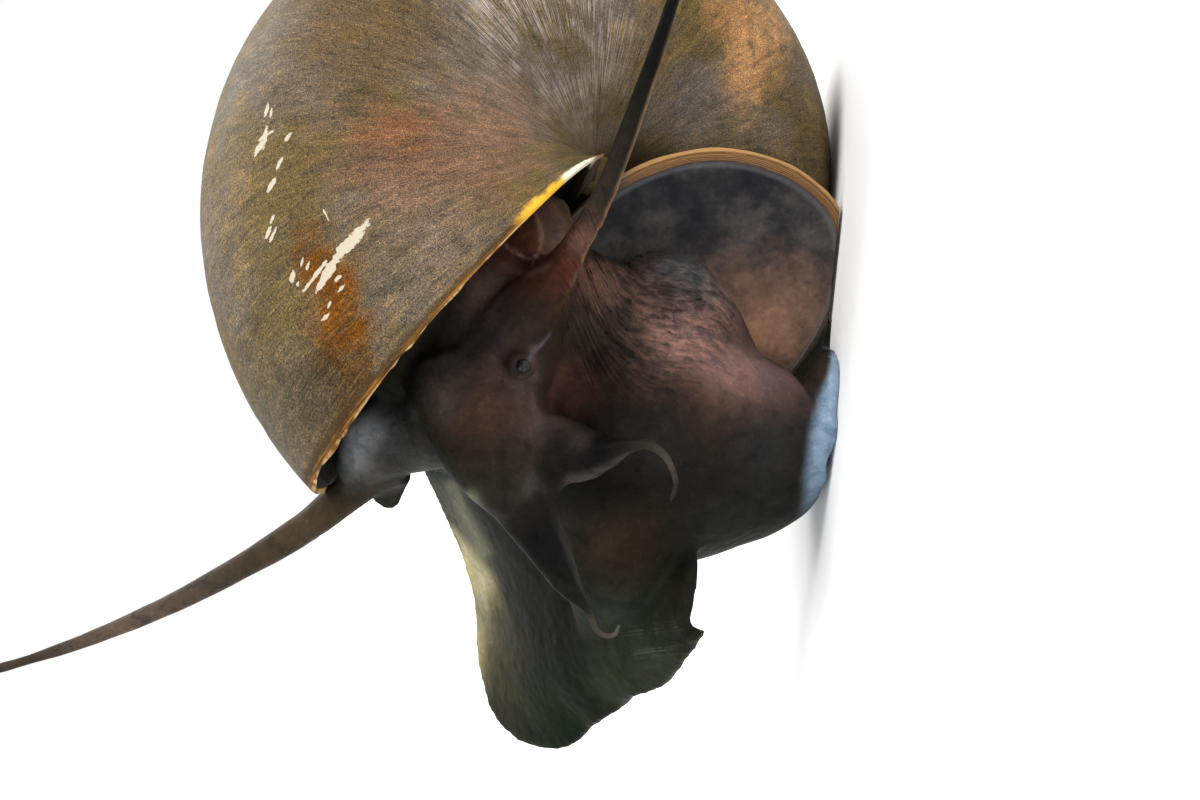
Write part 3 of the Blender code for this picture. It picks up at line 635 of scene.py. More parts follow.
def plate(name, shares, sides, thickness=OPERCULUM_THICKNESS, grow=0.0, behind=0.0, ripple=0.0):
    """The egg-shaped plate: its outline times each share, dished by the share squared, on both sides."""
    long, short, face = operculum_axes()
    angle = full_circle(sides)
    reach = np.where(np.sin(angle) > 0, OPERCULUM_LOWER, OPERCULUM_UPPER) + grow
    rim = np.cos(angle)[:, None] * (OPERCULUM_LONG + grow) * long + (np.sin(angle) * reach)[:, None] * short
    wobble = 1.0 + OPERCULUM_WOBBLE * rim_noise(angle, 6.0, 21)
    layers = []
    for side, order in ((1.0, shares), (-1.0, shares[::-1])):
        for share in order:
            past = max(0.0, (share - RIM_SHARE) / (1.0 - RIM_SHARE))
            edge = math.sqrt(max(0.0, 1.0 - past**2))
            wave = ripple * math.sin(2.0 * math.pi * OPERCULUM_LINES * share**1.5)
            half = (OPERCULUM_EDGE + (1.0 - OPERCULUM_EDGE) * edge) * thickness / 2
            offset = side * half + wave + OPERCULUM_DISH * (share**2 - 0.5)
            offset = offset - (behind if side < 0 else 0.0)
            layers.append(np.array(OPERCULUM_CENTRE) + share * rim * wobble[:, None] + offset * face)
    return mesh_object(name, np.concatenate(layers), ring_faces(len(layers), sides))


def make_operculum():
    """The plate in fine rings, closer at its rim, less the shell and what lies near the floor."""
    disc = np.linspace(OPERCULUM_CORE, RIM_SHARE, OPERCULUM_RINGS)
    shares = np.concatenate([disc, np.linspace(RIM_SHARE, 1.0, RIM_RINGS)[1:]])
    made = plate("operculum_plate", shares, OPERCULUM_SIDES, ripple=OPERCULUM_RIPPLE)
    boolean(made, [under_floor(OPERCULUM_LIFT)], "DIFFERENCE")
    boolean(made, [shell_clearance()], "DIFFERENCE")
    keep_largest(made)
    points = points_of(made)
    long, short, _ = operculum_axes()
    from_middle = points - np.array(OPERCULUM_CENTRE)
    x, y = from_middle @ long / OPERCULUM_LONG, from_middle @ short
    set_values(made, share=np.hypot(x, y / np.where(y > 0, OPERCULUM_LOWER, OPERCULUM_UPPER)))
    return made


def operculum_clearance():
    """The plate in coarse steps with a little room all round, and far more behind it."""
    room = OPERCULUM_THICKNESS + 2 * SKIN_CLEARANCE
    return plate("clearance", CLEARANCE_SHARES, CLEARANCE_SIDES, room, SKIN_CLEARANCE, ROOM_BEHIND)


# Flesh


def spline(values, count):
    """A smooth curve through the values: Catmull-Rom, with its ends carried straight on."""
    values = np.asarray(values, float)
    padded = np.concatenate([[2 * values[0] - values[1]], values, [2 * values[-1] - values[-2]]])
    place = np.linspace(0.0, len(values) - 1.0, count)
    span = np.minimum(place.astype(int), len(values) - 2)
    share = (place - span)[:, None]
    a, b, c, d = (padded[span + k] for k in range(4))
    line = 2 * b + (c - a) * share
    bend = (2 * a - 5 * b + 4 * c - d) * share**2 + (3 * b - a - 3 * c + d) * share**3
    return 0.5 * (line + bend)


def limb(name, stations, sides=LIMB_SIDES, first=0.0, last=1.0, closing=None):
    """An oval profile carried along a smooth path between two shares of its length.

    closing gives, for each ring, what its size is multiplied by.
    """
    rings = (len(stations) - 1) * RINGS_PER_STATION
    whole = spline(stations, SPLINE_STEPS * rings + 1)
    place = np.linspace(first, last, max(4, int(rings * (last - first)))) * (len(whole) - 1)
    low = np.minimum(place.astype(int), len(whole) - 2)
    share = (place - low)[:, None]
    table = (1 - share) * whole[low] + share * whole[low + 1]
    middle = table[:, :3]
    ahead = units(np.gradient(middle, axis=0))
    half = table[:, 3:]
    if closing is not None:
        half = half * closing(np.linspace(0.0, 1.0, len(half)))[:, None]
    up = units(np.array(UPRIGHT) - (ahead @ np.array(UPRIGHT))[:, None] * ahead)
    aside = np.cross(ahead, up)
    angle = full_circle(sides)
    wide = (half[:, :1] * np.cos(angle))[:, :, None] * up[:, None, :]
    deep = (half[:, 1:] * np.sin(angle))[:, :, None] * aside[:, None, :]
    points = middle[:, None, :] + wide + deep
    return mesh_object(name, points.reshape(-1, 3), ring_faces(len(middle), sides))


def pad(name, centre, half_width, half_length, height):
    """A flat-bottomed cushion: a squared oval outline under a dome that ends in a thin margin."""
    angle = full_circle(PAD_SIDES)
    power = 2.0 / SOLE_SQUARENESS
    x = np.sign(np.cos(angle)) * np.abs(np.cos(angle)) ** power * half_width
    y = np.sign(np.sin(angle)) * np.abs(np.sin(angle)) ** power * half_length
    layers = [(1.0, -PAD_SUNK)]
    for share in np.linspace(1.0, PAD_CROWN, PAD_RINGS):
        layers.append((share, SOLE_EDGE + (height - SOLE_EDGE) * (1.0 - share**2)))
    points = [(centre[0] + share * x, centre[1] + share * y, np.full_like(x, z)) for share, z in layers]
    points = np.stack(points).transpose(0, 2, 1)
    return mesh_object(name, points.reshape(-1, 3), ring_faces(len(layers), PAD_SIDES))


def fair_curve(path):
    """The cubic nearest to a row of points, sheared so that it starts and ends where they do."""
    share = np.linspace(0.0, 1.0, len(path))
    fair = np.stack([np.polyval(np.polyfit(share, values, 3), share) for values in path.T], axis=1)
    gap = path - fair
    return fair + (1.0 - share[:, None]) * gap[0] + share[:, None] * gap[-1]


def lobe_sheet():
    """The middle of the sheet, its normals and its half thickness.

    A Coons patch between four margins, the front one made fair. The nicks of the real front margin are
    then added as v to a high power, so that they die out close to the edge.
    """
    root, front = spline(LOBE_ROOT, LOBE_COLUMNS), spline(LOBE_FRONT, LOBE_COLUMNS)
    far, near = spline(LOBE_FAR_MARGIN, LOBE_ROWS), spline(LOBE_NEAR_MARGIN, LOBE_ROWS)
    fair = fair_curve(front)
    u = np.linspace(0.0, 1.0, LOBE_COLUMNS)[None, :, None]
    v = np.linspace(0.0, 1.0, LOBE_ROWS)[:, None, None]
    ruled = (1 - v) * root[None] + v * fair[None] + (1 - u) * far[:, None] + u * near[:, None]
    corners = (1 - u) * (1 - v) * root[0] + u * (1 - v) * root[-1]
    corners = corners + (1 - u) * v * fair[0] + u * v * fair[-1]
    sheet = ruled - corners + v**NICK_POWER * (front - fair)[None]
    normal = units(np.cross(np.gradient(sheet, axis=1), np.gradient(sheet, axis=0)))
    swell = smoothstep(0.0, 0.5, np.minimum(u, 1 - u)) ** 0.5 * smoothstep(0.0, 0.6, 1 - v) ** 0.5
    half = LOBE_EDGE + (LOBE_THICKNESS / 2 - LOBE_EDGE) * swell
    return sheet, normal, half


def make_lobe():
    """The sheet given its thickness: two layers of quads, joined along their border."""
    sheet, normal, half = lobe_sheet()
    index = np.arange(LOBE_ROWS * LOBE_COLUMNS).reshape(LOBE_ROWS, LOBE_COLUMNS)
    corners = [index[:-1, :-1], index[:-1, 1:], index[1:, 1:], index[1:, :-1]]
    quads = np.stack(corners, axis=-1).reshape(-1, 4)
    layer = index.size
    border = np.array([*index[0], *index[1:, -1], *index[-1, -2::-1], *index[-2:0:-1, 0]])
    after = np.roll(border, -1)
    sides = np.stack([border, layer + border, layer + after, after], axis=-1)
    faces = [*quads.tolist(), *(quads[:, ::-1] + layer).tolist(), *sides.tolist()]
    points = np.stack([sheet + half * normal, sheet - half * normal])
    return mesh_object("lobe", points.reshape(-1, 3), faces)


def groove_path():
    """Points along the slime groove, which runs in from the near front corner of the foot."""
    sheet, normal, half = lobe_sheet()
    side = np.sign(normal[LOBE_ROWS // 2, LOBE_COLUMNS // 2, 2])
    upper = sheet + side * half * normal
    u = np.linspace(1.0, GROOVE_REACH, GROOVE_POINTS)
    v = 1.0 - GROOVE_DROP * (1.0 - u) ** GROOVE_BEND
    row, column = v * (LOBE_ROWS - 1), u * (LOBE_COLUMNS - 1)
    low, left = np.minimum(row.astype(int), LOBE_ROWS - 2), np.minimum(column.astype(int), LOBE_COLUMNS - 2)
    row, column = (row - low)[:, None], (column - left)[:, None]
    lower = (1 - column) * upper[low, left] + column * upper[low, left + 1]
    higher = (1 - column) * upper[low + 1, left] + column * upper[low + 1, left + 1]
    return (1 - row) * lower + row * higher


def mantle_slab():
    """The front of the body inside the last turn, as far back as can be seen."""
    return coarse_cavity(MANTLE_START, MANTLE_END, MANTLE_RINGS, -MANTLE_INSET)


def root_closing(share):
    """Full size along a feeler's root, then slightly less at its end, which lies inside the fine tube."""
    return 1.0 - 0.14 * smoothstep(0.8, 1.0, share)


def tip_closing(share):
    """A feeler's fine tube: just under full size where it starts in the root, and round at its tip."""
    start = 1.0 - 0.08 * smoothstep(0.10, 0.0, share)
    return start * np.sqrt(np.clip(1.0 - 0.96 * smoothstep(0.97, 1.0, share) ** 2, 0.0, 1.0))


def siphon_closing(share):
    """A flap with a rounded end."""
    return np.sqrt(np.clip(1.0 - smoothstep(0.5, 1.0, share) ** 2 * 0.85, 0.0, 1.0))


def flesh_block():
    """All the flesh as overlapping forms, made one and parted from shell, operculum and floor."""
    closings = {"siphon": siphon_closing}
    forms = [limb(name, stations, closing=closings.get(name)) for name, stations in LIMBS.items()]
    forms += [pad(name, *sizes) for name, sizes in PADS.items()]
    forms.append(make_lobe())
    for name, (reach, stations) in FEELERS.items():
        forms.append(limb(name, stations, last=reach, closing=root_closing))
    flesh = boolean(forms[0], forms[1:], "UNION")
    boolean(flesh, [shell_clearance(), operculum_clearance(), under_floor(0.0)], "DIFFERENCE")
    boolean(flesh, [mantle_slab()], "UNION")
    return keep_largest(flesh)


def remeshed(target):
    """Evenly small faces over the whole surface, with the creases between the forms drawn out."""
    voxels = target.modifiers.new("voxels", "REMESH")
    voxels.mode = "VOXEL"
    voxels.voxel_size = SKIN_VOXEL * MM
    return smoothed(applied(target), SKIN_SMOOTHING)


def sweep(points):
    """Height above the fold that runs through it: y less the integral over z of the folds' slope."""
    z = FOLD_SWEEP
    slope = LEVEL_SLOPE + NECK_SLOPE * bell(z - NECK_SLOPE_PLACE, NECK_SLOPE_REACH)
    slope += SOLE_SLOPE * smoothstep(SOLE_SLOPE_START, SOLE_SLOPE_END, z)
    climbed = np.cumsum(slope) * (z[1] - z[0])
    return points[:, 1] - np.interp(points[:, 2], z, climbed)


def folding(points):
    """How strongly the skin is folded: fully on the flank under the lump, fading out away from it."""
    away = np.hypot(points[:, 1] - FOLD_MIDDLE[0], points[:, 2] - FOLD_MIDDLE[1])
    return smoothstep(FOLD_REACH[1], FOLD_REACH[0], away) * smoothstep(*FOLD_SIDE, points[:, 0])


def fold_relief(points):
    """Folds of the flank: valleys where noise, drawn out along the folds, crosses zero."""
    warp = 0.5 * hash_noise(points, 3.0, 31) + 0.25 * hash_noise(points, 1.1, 32)
    place = np.stack([(sweep(points) + warp) / FOLD_SPACING, points[:, 2] / FOLD_LENGTH, warp], axis=1)
    valley = np.clip(1.0 - FOLD_SHARPNESS * np.abs(hash_noise(place, 1.0, 33)), 0.0, 1.0) ** FOLD_POWER
    return -FOLD_DEPTH * folding(points) * valley


def nearest_on(path, points, reach):
    """Which points lie in the path's box, grown by the reach, and all distances from each to the path."""
    low, high = path.min(axis=0) - reach, path.max(axis=0) + reach
    near = np.all((points > low) & (points < high), axis=1)
    return near, np.linalg.norm(points[near][:, None, :] - path[None], axis=2)


def line_nearness(points, normals):
    """For each line, 1 on it and 0 away from it, on the side of the skin that faces +X."""
    found = []
    for path, width, _, _, _, least_x in SKIN_LINES:
        near, away = nearest_on(spline(path, LINE_POINTS), points[:, 1:], 4 * width)
        nearness = np.zeros(len(points))
        nearness[near] = bell(away.min(axis=1), width)
        found.append(nearness * ((normals[:, 0] > LINE_FACING) & (points[:, 0] > least_x)))
    return found


def groove_near(points):
    """(gap, depth): how far each point lies from the slime groove, and the groove's depth there, 1 to 0."""
    near, away = nearest_on(groove_path(), points, GROOVE_WIDTH)
    gap, depth = np.full(len(points), GROOVE_WIDTH), np.zeros(len(points))
    gap[near] = np.minimum(away.min(axis=1), GROOVE_WIDTH)
    depth[near] = 1.0 - smoothstep(*GROOVE_FADE, away.argmin(axis=1) / (GROOVE_POINTS - 1))
    return gap, depth


def smoothed(target, rounds):
    """Evens out the surface and keeps its size.

    Each point goes part of the way to the mean of its neighbours, then part of the way back.
    """
    edges = np.empty(len(target.data.edges) * 2, np.int32)
    target.data.edges.foreach_get("vertices", edges)
    a, b = edges.reshape(-1, 2).T
    points = points_of(target)
    size = len(points)
    count = (np.bincount(a, minlength=size) + np.bincount(b, minlength=size))[:, None]
    for factor in (SMOOTH_IN, SMOOTH_OUT) * rounds:
        total = [np.bincount(a, points[b, k], size) + np.bincount(b, points[a, k], size) for k in range(3)]
        points = points + factor * (np.stack(total, axis=1) / count - points)
    set_points(target, points)
    return target


def skin_relief(points, normals):
    """Folds, fine pebbling, the slime groove and the drawn lines, in millimetres along the normal."""
    gap, depth = groove_near(points)
    relief = fold_relief(points) - GROOVE_DEPTH * depth * bell(gap, GROOVE_FLOOR)
    relief += sum(height * hash_noise(points, size, seed) for height, size, seed in SKIN_PEBBLES)
    for nearness, (_, _, height, *_) in zip(line_nearness(points, normals), SKIN_LINES):
        relief += height * nearness
    return relief * smoothstep(*SKIN_FADE, points[:, 2])


def carve(points, normals):
    """The mouth: a slit sunk between two ridges of lip, at the end of the snout."""
    along = unit(MOUTH_ALONG)
    across = unit(np.cross(along, (1.0, 0.0, 0.0)))
    from_mouth = points - np.array(MOUTH_PLACE)
    a, b = from_mouth @ along, from_mouth @ across
    near = bell(np.linalg.norm(from_mouth, axis=1), MOUTH_REACH, 4) * smoothstep(0.0, 0.4, normals[:, 0])
    slit = -SLIT_DEPTH * bell(np.hypot(a / SLIT_SIZE[0], b / SLIT_SIZE[1]), 1.0)
    lips = LIPS_HEIGHT * bell(np.hypot(a / LIPS_SIZE[0], b / LIPS_SIZE[1]) - 1.0, LIPS_WIDTH)
    return ((slit + lips) * near)[:, None] * normals


# Tints of the skin, each fading out from its centre: x, y, z, reach, red, green and blue in
# thousandths, strength. Their colours were fitted so that the lit skin comes out at measured tones, so
# besides the skin's own colour they hold painted light and shade: raised where the flesh lies in
# shade under the lip, lowered where this scene's lamps and floor light it more.
SKIN_BASE = (0.010, 0.010, 0.006)
SKIN_TINTS_WITH_PAINTED_LIGHT = (
    (14.0, -2.0, 12.0, 8.0, 2, 2, 2, 0.8), (14.5, 2.6, 8.5, 4.6, 93, 53, 38, 0.85),
    (13.5, 5.4, 12.5, 3.6, 352, 204, 172, 0.85), (14.0, 3.6, 5.0, 3.4, 153, 95, 94, 0.7),
    (14.5, 6.0, 17.8, 3.0, 29, 28, 21, 0.8), (13.5, 8.8, 18.6, 2.6, 150, 78, 60, 0.8),
    (12.6, 9.2, 13.2, 2.6, 46, 48, 50, 0.9), (12.6, 6.9, 13.2, 1.1, 20, 18, 18, 0.7),
    (15.0, -0.6, 20.2, 2.6, 59, 25, 20, 0.85), (18.5, 9.6, 24.4, 4.6, 68, 20, 13, 0.9),
    (20.0, 4.0, 25.6, 3.0, 9, 9, 11, 0.8), (21.4, -1.5, 25.6, 3.6, 59, 30, 23, 0.85),
    (20.5, 0.8, 23.8, 1.7, 80, 59, 58, 0.55), (22.0, -6.0, 23.4, 2.4, 25, 19, 16, 0.8),
    (20.0, -11.0, 20.8, 3.6, 3, 3, 4, 0.97), (21.8, -4.8, 17.6, 2.9, 2, 2, 3, 0.95),
    (13.0, -7.6, 7.0, 4.8, 11, 11, 10, 0.85), (13.0, -5.5, 14.5, 4.0, 2, 2, 2, 0.7),
    (-7.0, -10.5, 26.6, 5.0, 20, 28, 29, 0.9), (-11.5, -15.0, 24.8, 3.4, 411, 362, 120, 0.9),
    (-13.6, -21.0, 23.6, 2.4, 353, 303, 152, 0.8), (0.7, -20.0, 18.4, 5.0, 2, 2, 2, 0.9),
    (-3.8, -26.2, 15.8, 5.6, 3, 9, 2, 0.85), (10.0, -18.0, 11.0, 5.0, 21, 25, 14, 0.8),
    # Painted sheen: the last tint of this row, pale bluish, is the highlight on the right tentacle's root
    # under the lip.
    (9.8, -13.0, 14.8, 3.4, 3, 18, 17, 0.8), (10.6, -4.8, 34.1, 2.4, 153, 160, 171, 0.9),
    (13.5, -5.0, 30.6, 3.0, 33, 33, 32, 0.85), (22.6, 9.0, 21.4, 2.6, 71, 19, 12, 0.9),
    (23.8, 15.0, 18.6, 5.4, 20, 16, 11, 0.9), (24.8, 25.0, 16.6, 7.0, 2, 2, 2, 0.9),
    (6.8, -12.3, 38.1, 5.0, 48, 33, 18, 0.9), (2.6, -20.0, 49.5, 8.0, 85, 62, 47, 0.9),
    (-1.0, -26.0, 62.0, 5.0, 50, 34, 25, 0.8), (25.0, -5.0, 13.2, 2.2, 44, 37, 30, 0.9),
    # Painted sheen: the last tint of this row is the brightest part of that highlight.
    (22.7, -16.9, 16.0, 1.6, 55, 49, 43, 0.9), (12.1, -4.8, 34.6, 1.9, 394, 400, 419, 0.85),
    (22.8, -7.0, 22.7, 0.7, 55, 48, 44, 0.7), (12.0, 8.6, 10.9, 2.2, 56, 66, 70, 0.8),
    (11.0, 7.8, 8.8, 1.6, 122, 87, 71, 0.7), (-7.5, -10.6, 26.0, 2.6, 48, 47, 36, 0.95),
    (-8.5, -15.0, 23.8, 2.0, 410, 367, 173, 0.95), (-11.0, -17.5, 23.6, 1.6, 315, 289, 183, 0.95),
    (-5.0, -13.5, 23.6, 2.6, 31, 30, 25, 0.95), (-9.0, -22.0, 21.8, 3.6, 22, 21, 7, 0.95),
    (5.0, -22.5, 14.0, 3.4, 12, 19, 8, 0.95), (14.0, -11.5, 14.5, 3.2, 16, 9, 5, 0.95),
    (19.5, 3.5, 28.6, 3.0, 18, 16, 16, 0.95), (16.6, -3.0, 14.0, 3.0, 15, 14, 13, 0.95),
    (14.8, -2.5, 5.0, 2.8, 17, 18, 18, 0.95), (17.6, 10.6, 21.6, 1.8, 70, 46, 38, 0.95),
    (19.7, 5.8, 26.9, 2.0, 78, 56, 48, 0.85), (12.1, -7.4, 31.2, 1.6, 12, 13, 12, 0.9),
    (20.6, -1.1, 29.5, 1.8, 69, 54, 47, 0.8), (21.0, -3.3, 22.2, 1.2, 88, 61, 56, 0.8),
    (21.6, -3.8, 19.7, 0.9, 40, 30, 28, 0.8), (23.5, 10.9, 21.1, 1.3, 121, 66, 55, 0.8),
    (13.7, 2.9, 8.3, 2.0, 214, 127, 115, 0.8), (13.9, -10.9, 16.6, 1.6, 34, 23, 14, 0.8),
)
SOLE_TINT = (0.20, 0.28, 0.37)
SOLE_TINT_LOW = 0.5
SOLE_TINT_RISE = 1.4
TINT_WARP = 0.9
GLOW_FACING = (0.45, 0.95)
# Light that comes through thin edges: (centre, reach, direction of the edge, colour, strength).
SKIN_GLOWS = (
    ((24.0, 16.0, 19.0), 9.0, (0.0, 0.15, -1.0), (0.200, 0.130, 0.070), 0.85),
    ((21.2, -13.0, 19.5), 4.6, (0.0, 0.25, -1.0), (0.080, 0.066, 0.058), 0.4),
    ((21.6, -6.0, 18.0), 3.4, (0.0, -1.0, -0.2), (0.055, 0.048, 0.044), 0.6),
    ((-12.0, -19.0, 23.2), 6.0, (-0.6, 0.0, 0.8), (0.160, 0.150, 0.100), 0.6),
)


def skin_colours(points, normals):
    """Each point's colour: the base, drawn towards each tint, glow and line in turn, then the sole's."""
    colours = np.tile(SKIN_BASE, (len(points), 1))
    warp = np.stack([hash_noise(points, 3.0, seed) for seed in (61, 62, 63)], axis=1) * TINT_WARP

    def drawn(tint, weight):
        return colours * (1.0 - weight[:, None]) + np.array(tint) * weight[:, None]

    for x, y, z, reach, red, green, blue, strength in SKIN_TINTS_WITH_PAINTED_LIGHT:
        away = np.linalg.norm(points + warp - (x, y, z), axis=1)
        colours = drawn((red / 1000.0, green / 1000.0, blue / 1000.0), strength * bell(away, reach))
    for centre, reach, edge, tint, strength in SKIN_GLOWS:
        away = np.linalg.norm(points - centre, axis=1)
        facing = smoothstep(*GLOW_FACING, normals @ unit(edge))
        colours = drawn(tint, strength * bell(away, reach, 4) * facing)
    for nearness, (_, _, _, tint, strength, _) in zip(line_nearness(points, normals), SKIN_LINES):
        colours = drawn(tint, strength * nearness)
    height = SOLE_TINT_LOW + SOLE_TINT_RISE * smoothstep(4.5, -2.0, points[:, 1])
    sole = smoothstep(1.3, 0.7, (points[:, 2] + 0.25 * warp[:, 0]) / height)
    sole *= smoothstep(4.8, 3.8, points[:, 1]) * smoothstep(-9.5, -4.0, points[:, 1])
    return drawn(SOLE_TINT, sole)


def make_skin():
    """One closed skin: the flesh remeshed, each feeler's fine tube joined on, and relief over it all."""
    skin = remeshed(flesh_block())
    tubes = []
    for name, (reach, stations) in FEELERS.items():
        tubes.append(limb(name, stations, FEELER_SIDES, reach - FEELER_LAP, closing=tip_closing))
    for piece in (skin, *tubes):
        points, normals = points_of(piece), normals_of(piece)
        moved = points + skin_relief(points, normals)[:, None] * normals + carve(points, normals)
        moved[:, 2] = np.maximum(moved[:, 2], 0.0)
        set_points(piece, moved)
    boolean(skin, tubes, "UNION")
    keep_largest(skin)
    points = points_of(skin)
    set_colour(skin, "tint", skin_colours(points, normals_of(skin)))
    gap, depth = groove_near(points)
    set_values(skin, sweep=sweep(points), folded=folding(points), groove=gap, groove_depth=depth)
    return skin


def make_eye(stalk):
    """A dark ball sunk in the end of its stalk."""
    built = bmesh.new()
    bmesh.ops.create_icosphere(built, subdivisions=4, radius=EYE_RADIUS * MM, matrix=Matrix.Identity(4))
    mesh = bpy.data.meshes.new("eye_ball")
    built.to_mesh(mesh)
    built.free()
    made = linked("eye_ball", mesh)
    end, before = (np.array(station[:3]) for station in (LIMBS[stalk][-1], LIMBS[stalk][-2]))
    set_points(made, points_of(made) + end - EYE_SUNK * unit(end - before))
    return made


# Finishes


class Wire:
    """A socket of a finish's node, which +, - and * join to a number or to another wire."""

    def __init__(self, finish, socket):
        self.finish, self.socket = finish, socket

    def __add__(self, other):
        return self.finish.maths("ADD", self, other)

    def __sub__(self, other):
        return self.finish.maths("SUBTRACT", self, other)

    def __mul__(self, other):
        return self.finish.maths("MULTIPLY", self, other)


class Finish:
    """A material built up coat by coat: tone is its colour so far, and normal its relief so far."""

    def __init__(self, name, settings, tone=None):
        self.material = bpy.data.materials.new(name)
        self.material.use_nodes = True
        self.tree = self.material.node_tree
        self.shader = self.tree.nodes["Principled BSDF"]
        self.tone, self.normal = tone, None
        for key, value in settings.items():
            self.shader.inputs[key].default_value = value

    def put(self, socket, value):
        """Links a wire to a socket, or sets the socket's constant."""
        if isinstance(value, Wire):
            self.tree.links.new(value.socket, socket)
        elif isinstance(value, tuple) and len(value) == 3 and socket.type == "RGBA":
            socket.default_value = (*value, 1.0)
        else:
            socket.default_value = value

    def node(self, kind, inputs=(), output=0, **settings):
        """A new node, as the wire from one of its outputs."""
        made = self.tree.nodes.new("ShaderNode" + kind)
        for key, value in settings.items():
            setattr(made, key, value)
        for key, value in dict(inputs).items():
            self.put(made.inputs[key], value)
        return Wire(self, made.outputs[output])

    def place(self):
        return self.node("TexCoord", output="Object")

    def value(self, name, output="Fac"):
        return self.node("Attribute", output=output, attribute_name=name)

    def joined(self, x, y, z):
        return self.node("CombineXYZ", {0: x, 1: y, 2: z})

    def part(self, vector, letter):
        return self.node("SeparateXYZ", {0: vector}, letter)

    def maths(self, operation, a, b):
        return self.node("Math", {0: a, 1: b}, operation=operation)

    def noise(self, vector, scale, detail=3.0, roughness=0.5, distortion=0.0):
        inputs = {"Vector": vector, "Scale": scale, "Detail": detail}
        inputs |= {"Roughness": roughness, "Distortion": distortion}
        return self.node("TexNoise", inputs, "Fac")

    def ramp(self, value, low, high, top=1.0):
        """0 at low, top at high, and a smooth step between."""
        inputs = {"Value": value, "From Min": low, "From Max": high, "To Max": top}
        return self.node("MapRange", inputs, interpolation_type="SMOOTHSTEP")

    def mix(self, share, a, b, blend="MIX"):
        return self.node("Mix", {0: share, 6: a, 7: b}, 2, data_type="RGBA", blend_type=blend)

    def blot(self, centre, size, turn, fray, rough):
        """How far a place lies from an oval spot's middle, 1 at its outline, which noise breaks up.

        rough is that noise, or its scale.
        """
        if isinstance(rough, float):
            rough = self.noise(self.place(), rough, 4.0, 0.65)
        where = {"Vector": self.place(), "Rotation": (turn, 0.0, 0.0)}
        where["Location"] = tuple(c * MM for c in centre)
        where["Scale"] = tuple(s * MM for s in size)
        turned = self.node("Mapping", where, vector_type="TEXTURE")
        away = self.node("VectorMath", {0: turned}, "Value", operation="LENGTH")
        return away + (rough - 0.5) * fray

    def lay(self, share, tint, blend="MIX"):
        """Lays a tint over the colour so far, as strongly as the share says."""
        self.tone = self.mix(share, self.tone, tint, blend)

    def coat(self, mask, low, high, top, tint, blend="MIX"):
        """Lays a tint where the mask goes from low to high, up to the strength top."""
        self.lay(self.ramp(mask, low, high, top), tint, blend)

    def shade(self, mask, low, high, top, tint):
        """Multiplies the colour so far by a tint where the mask goes from low to high."""
        self.coat(mask, low, high, top, tint, "MULTIPLY")

    def bump(self, height, distance, strength):
        """Adds a height to the relief so far."""
        inputs = {"Height": height, "Distance": distance, "Strength": strength}
        if self.normal is not None:
            inputs["Normal"] = self.normal
        self.normal = self.node("Bump", inputs)

    def finish(self, roughness=None):
        """The material, with its colour, its relief and any mapped roughness joined to the shader."""
        found = {"Base Color": self.tone, "Normal": self.normal, "Roughness": roughness}
        for key, value in found.items():
            if value is not None:
                self.put(self.shader.inputs[key], value)
        return self.material


# Worn streaks of the shell, where the dark skin is gone: x, y and z of one end, y and z of the
# other, half width.
CHIPS = (
    (27.8, 9.87, 35.89, 7.07, 37.85, 0.31), (27.7, 8.07, 37.38, 5.49, 38.53, 0.27),
    (27.5, 6.47, 38.34, 4.92, 38.82, 0.16), (27.1, 7.17, 38.33, 5.14, 39.59, 0.11),
    (27.8, 8.82, 36.69, 7.78, 37.63, 0.25), (19.5, 17.99, 43.26, 17.03, 43.39, 0.1),
    (19.9, 17.7, 42.96, 17.04, 43.04, 0.07), (20.7, 16.3, 43.19, 14.92, 43.29, 0.13),
    (20.6, 16.02, 42.82, 15.2, 43.8, 0.11), (20.6, 15.28, 43.39, 14.25, 43.86, 0.16),
    (22.2, 15.94, 41.5, 15.34, 41.86, 0.1), (22.6, 14.12, 41.97, 13.39, 42.26, 0.1),
    (22.8, 12.68, 42.27, 11.66, 42.74, 0.13), (23.6, 10.06, 42.19, 9.42, 42.41, 0.09),
    (23.6, 9.28, 42.33, 8.42, 42.6, 0.11), (24.0, 9.16, 41.98, 8.16, 42.31, 0.09),
    (26.3, 10.69, 38.88, 10.02, 38.49, 0.07), (25.9, 6.25, 40.5, 5.48, 40.64, 0.14),
    (26.3, 7.26, 39.97, 6.63, 40.05, 0.07), (26.7, 6.94, 39.54, 6.45, 39.63, 0.09),
    (26.3, 5.58, 40.1, 5.16, 40.2, 0.1), (28.2, 6.21, 37.3, 5.76, 37.67, 0.12),
    (28.5, 5.54, 37.04, 5.02, 37.41, 0.1), (28.1, 4.37, 37.83, 3.88, 37.99, 0.08),
    (28.0, 3.47, 37.88, 3.02, 38.32, 0.13),
)
CHIP_DEPTH = 6.0
CHIP_SPREAD = 1.2
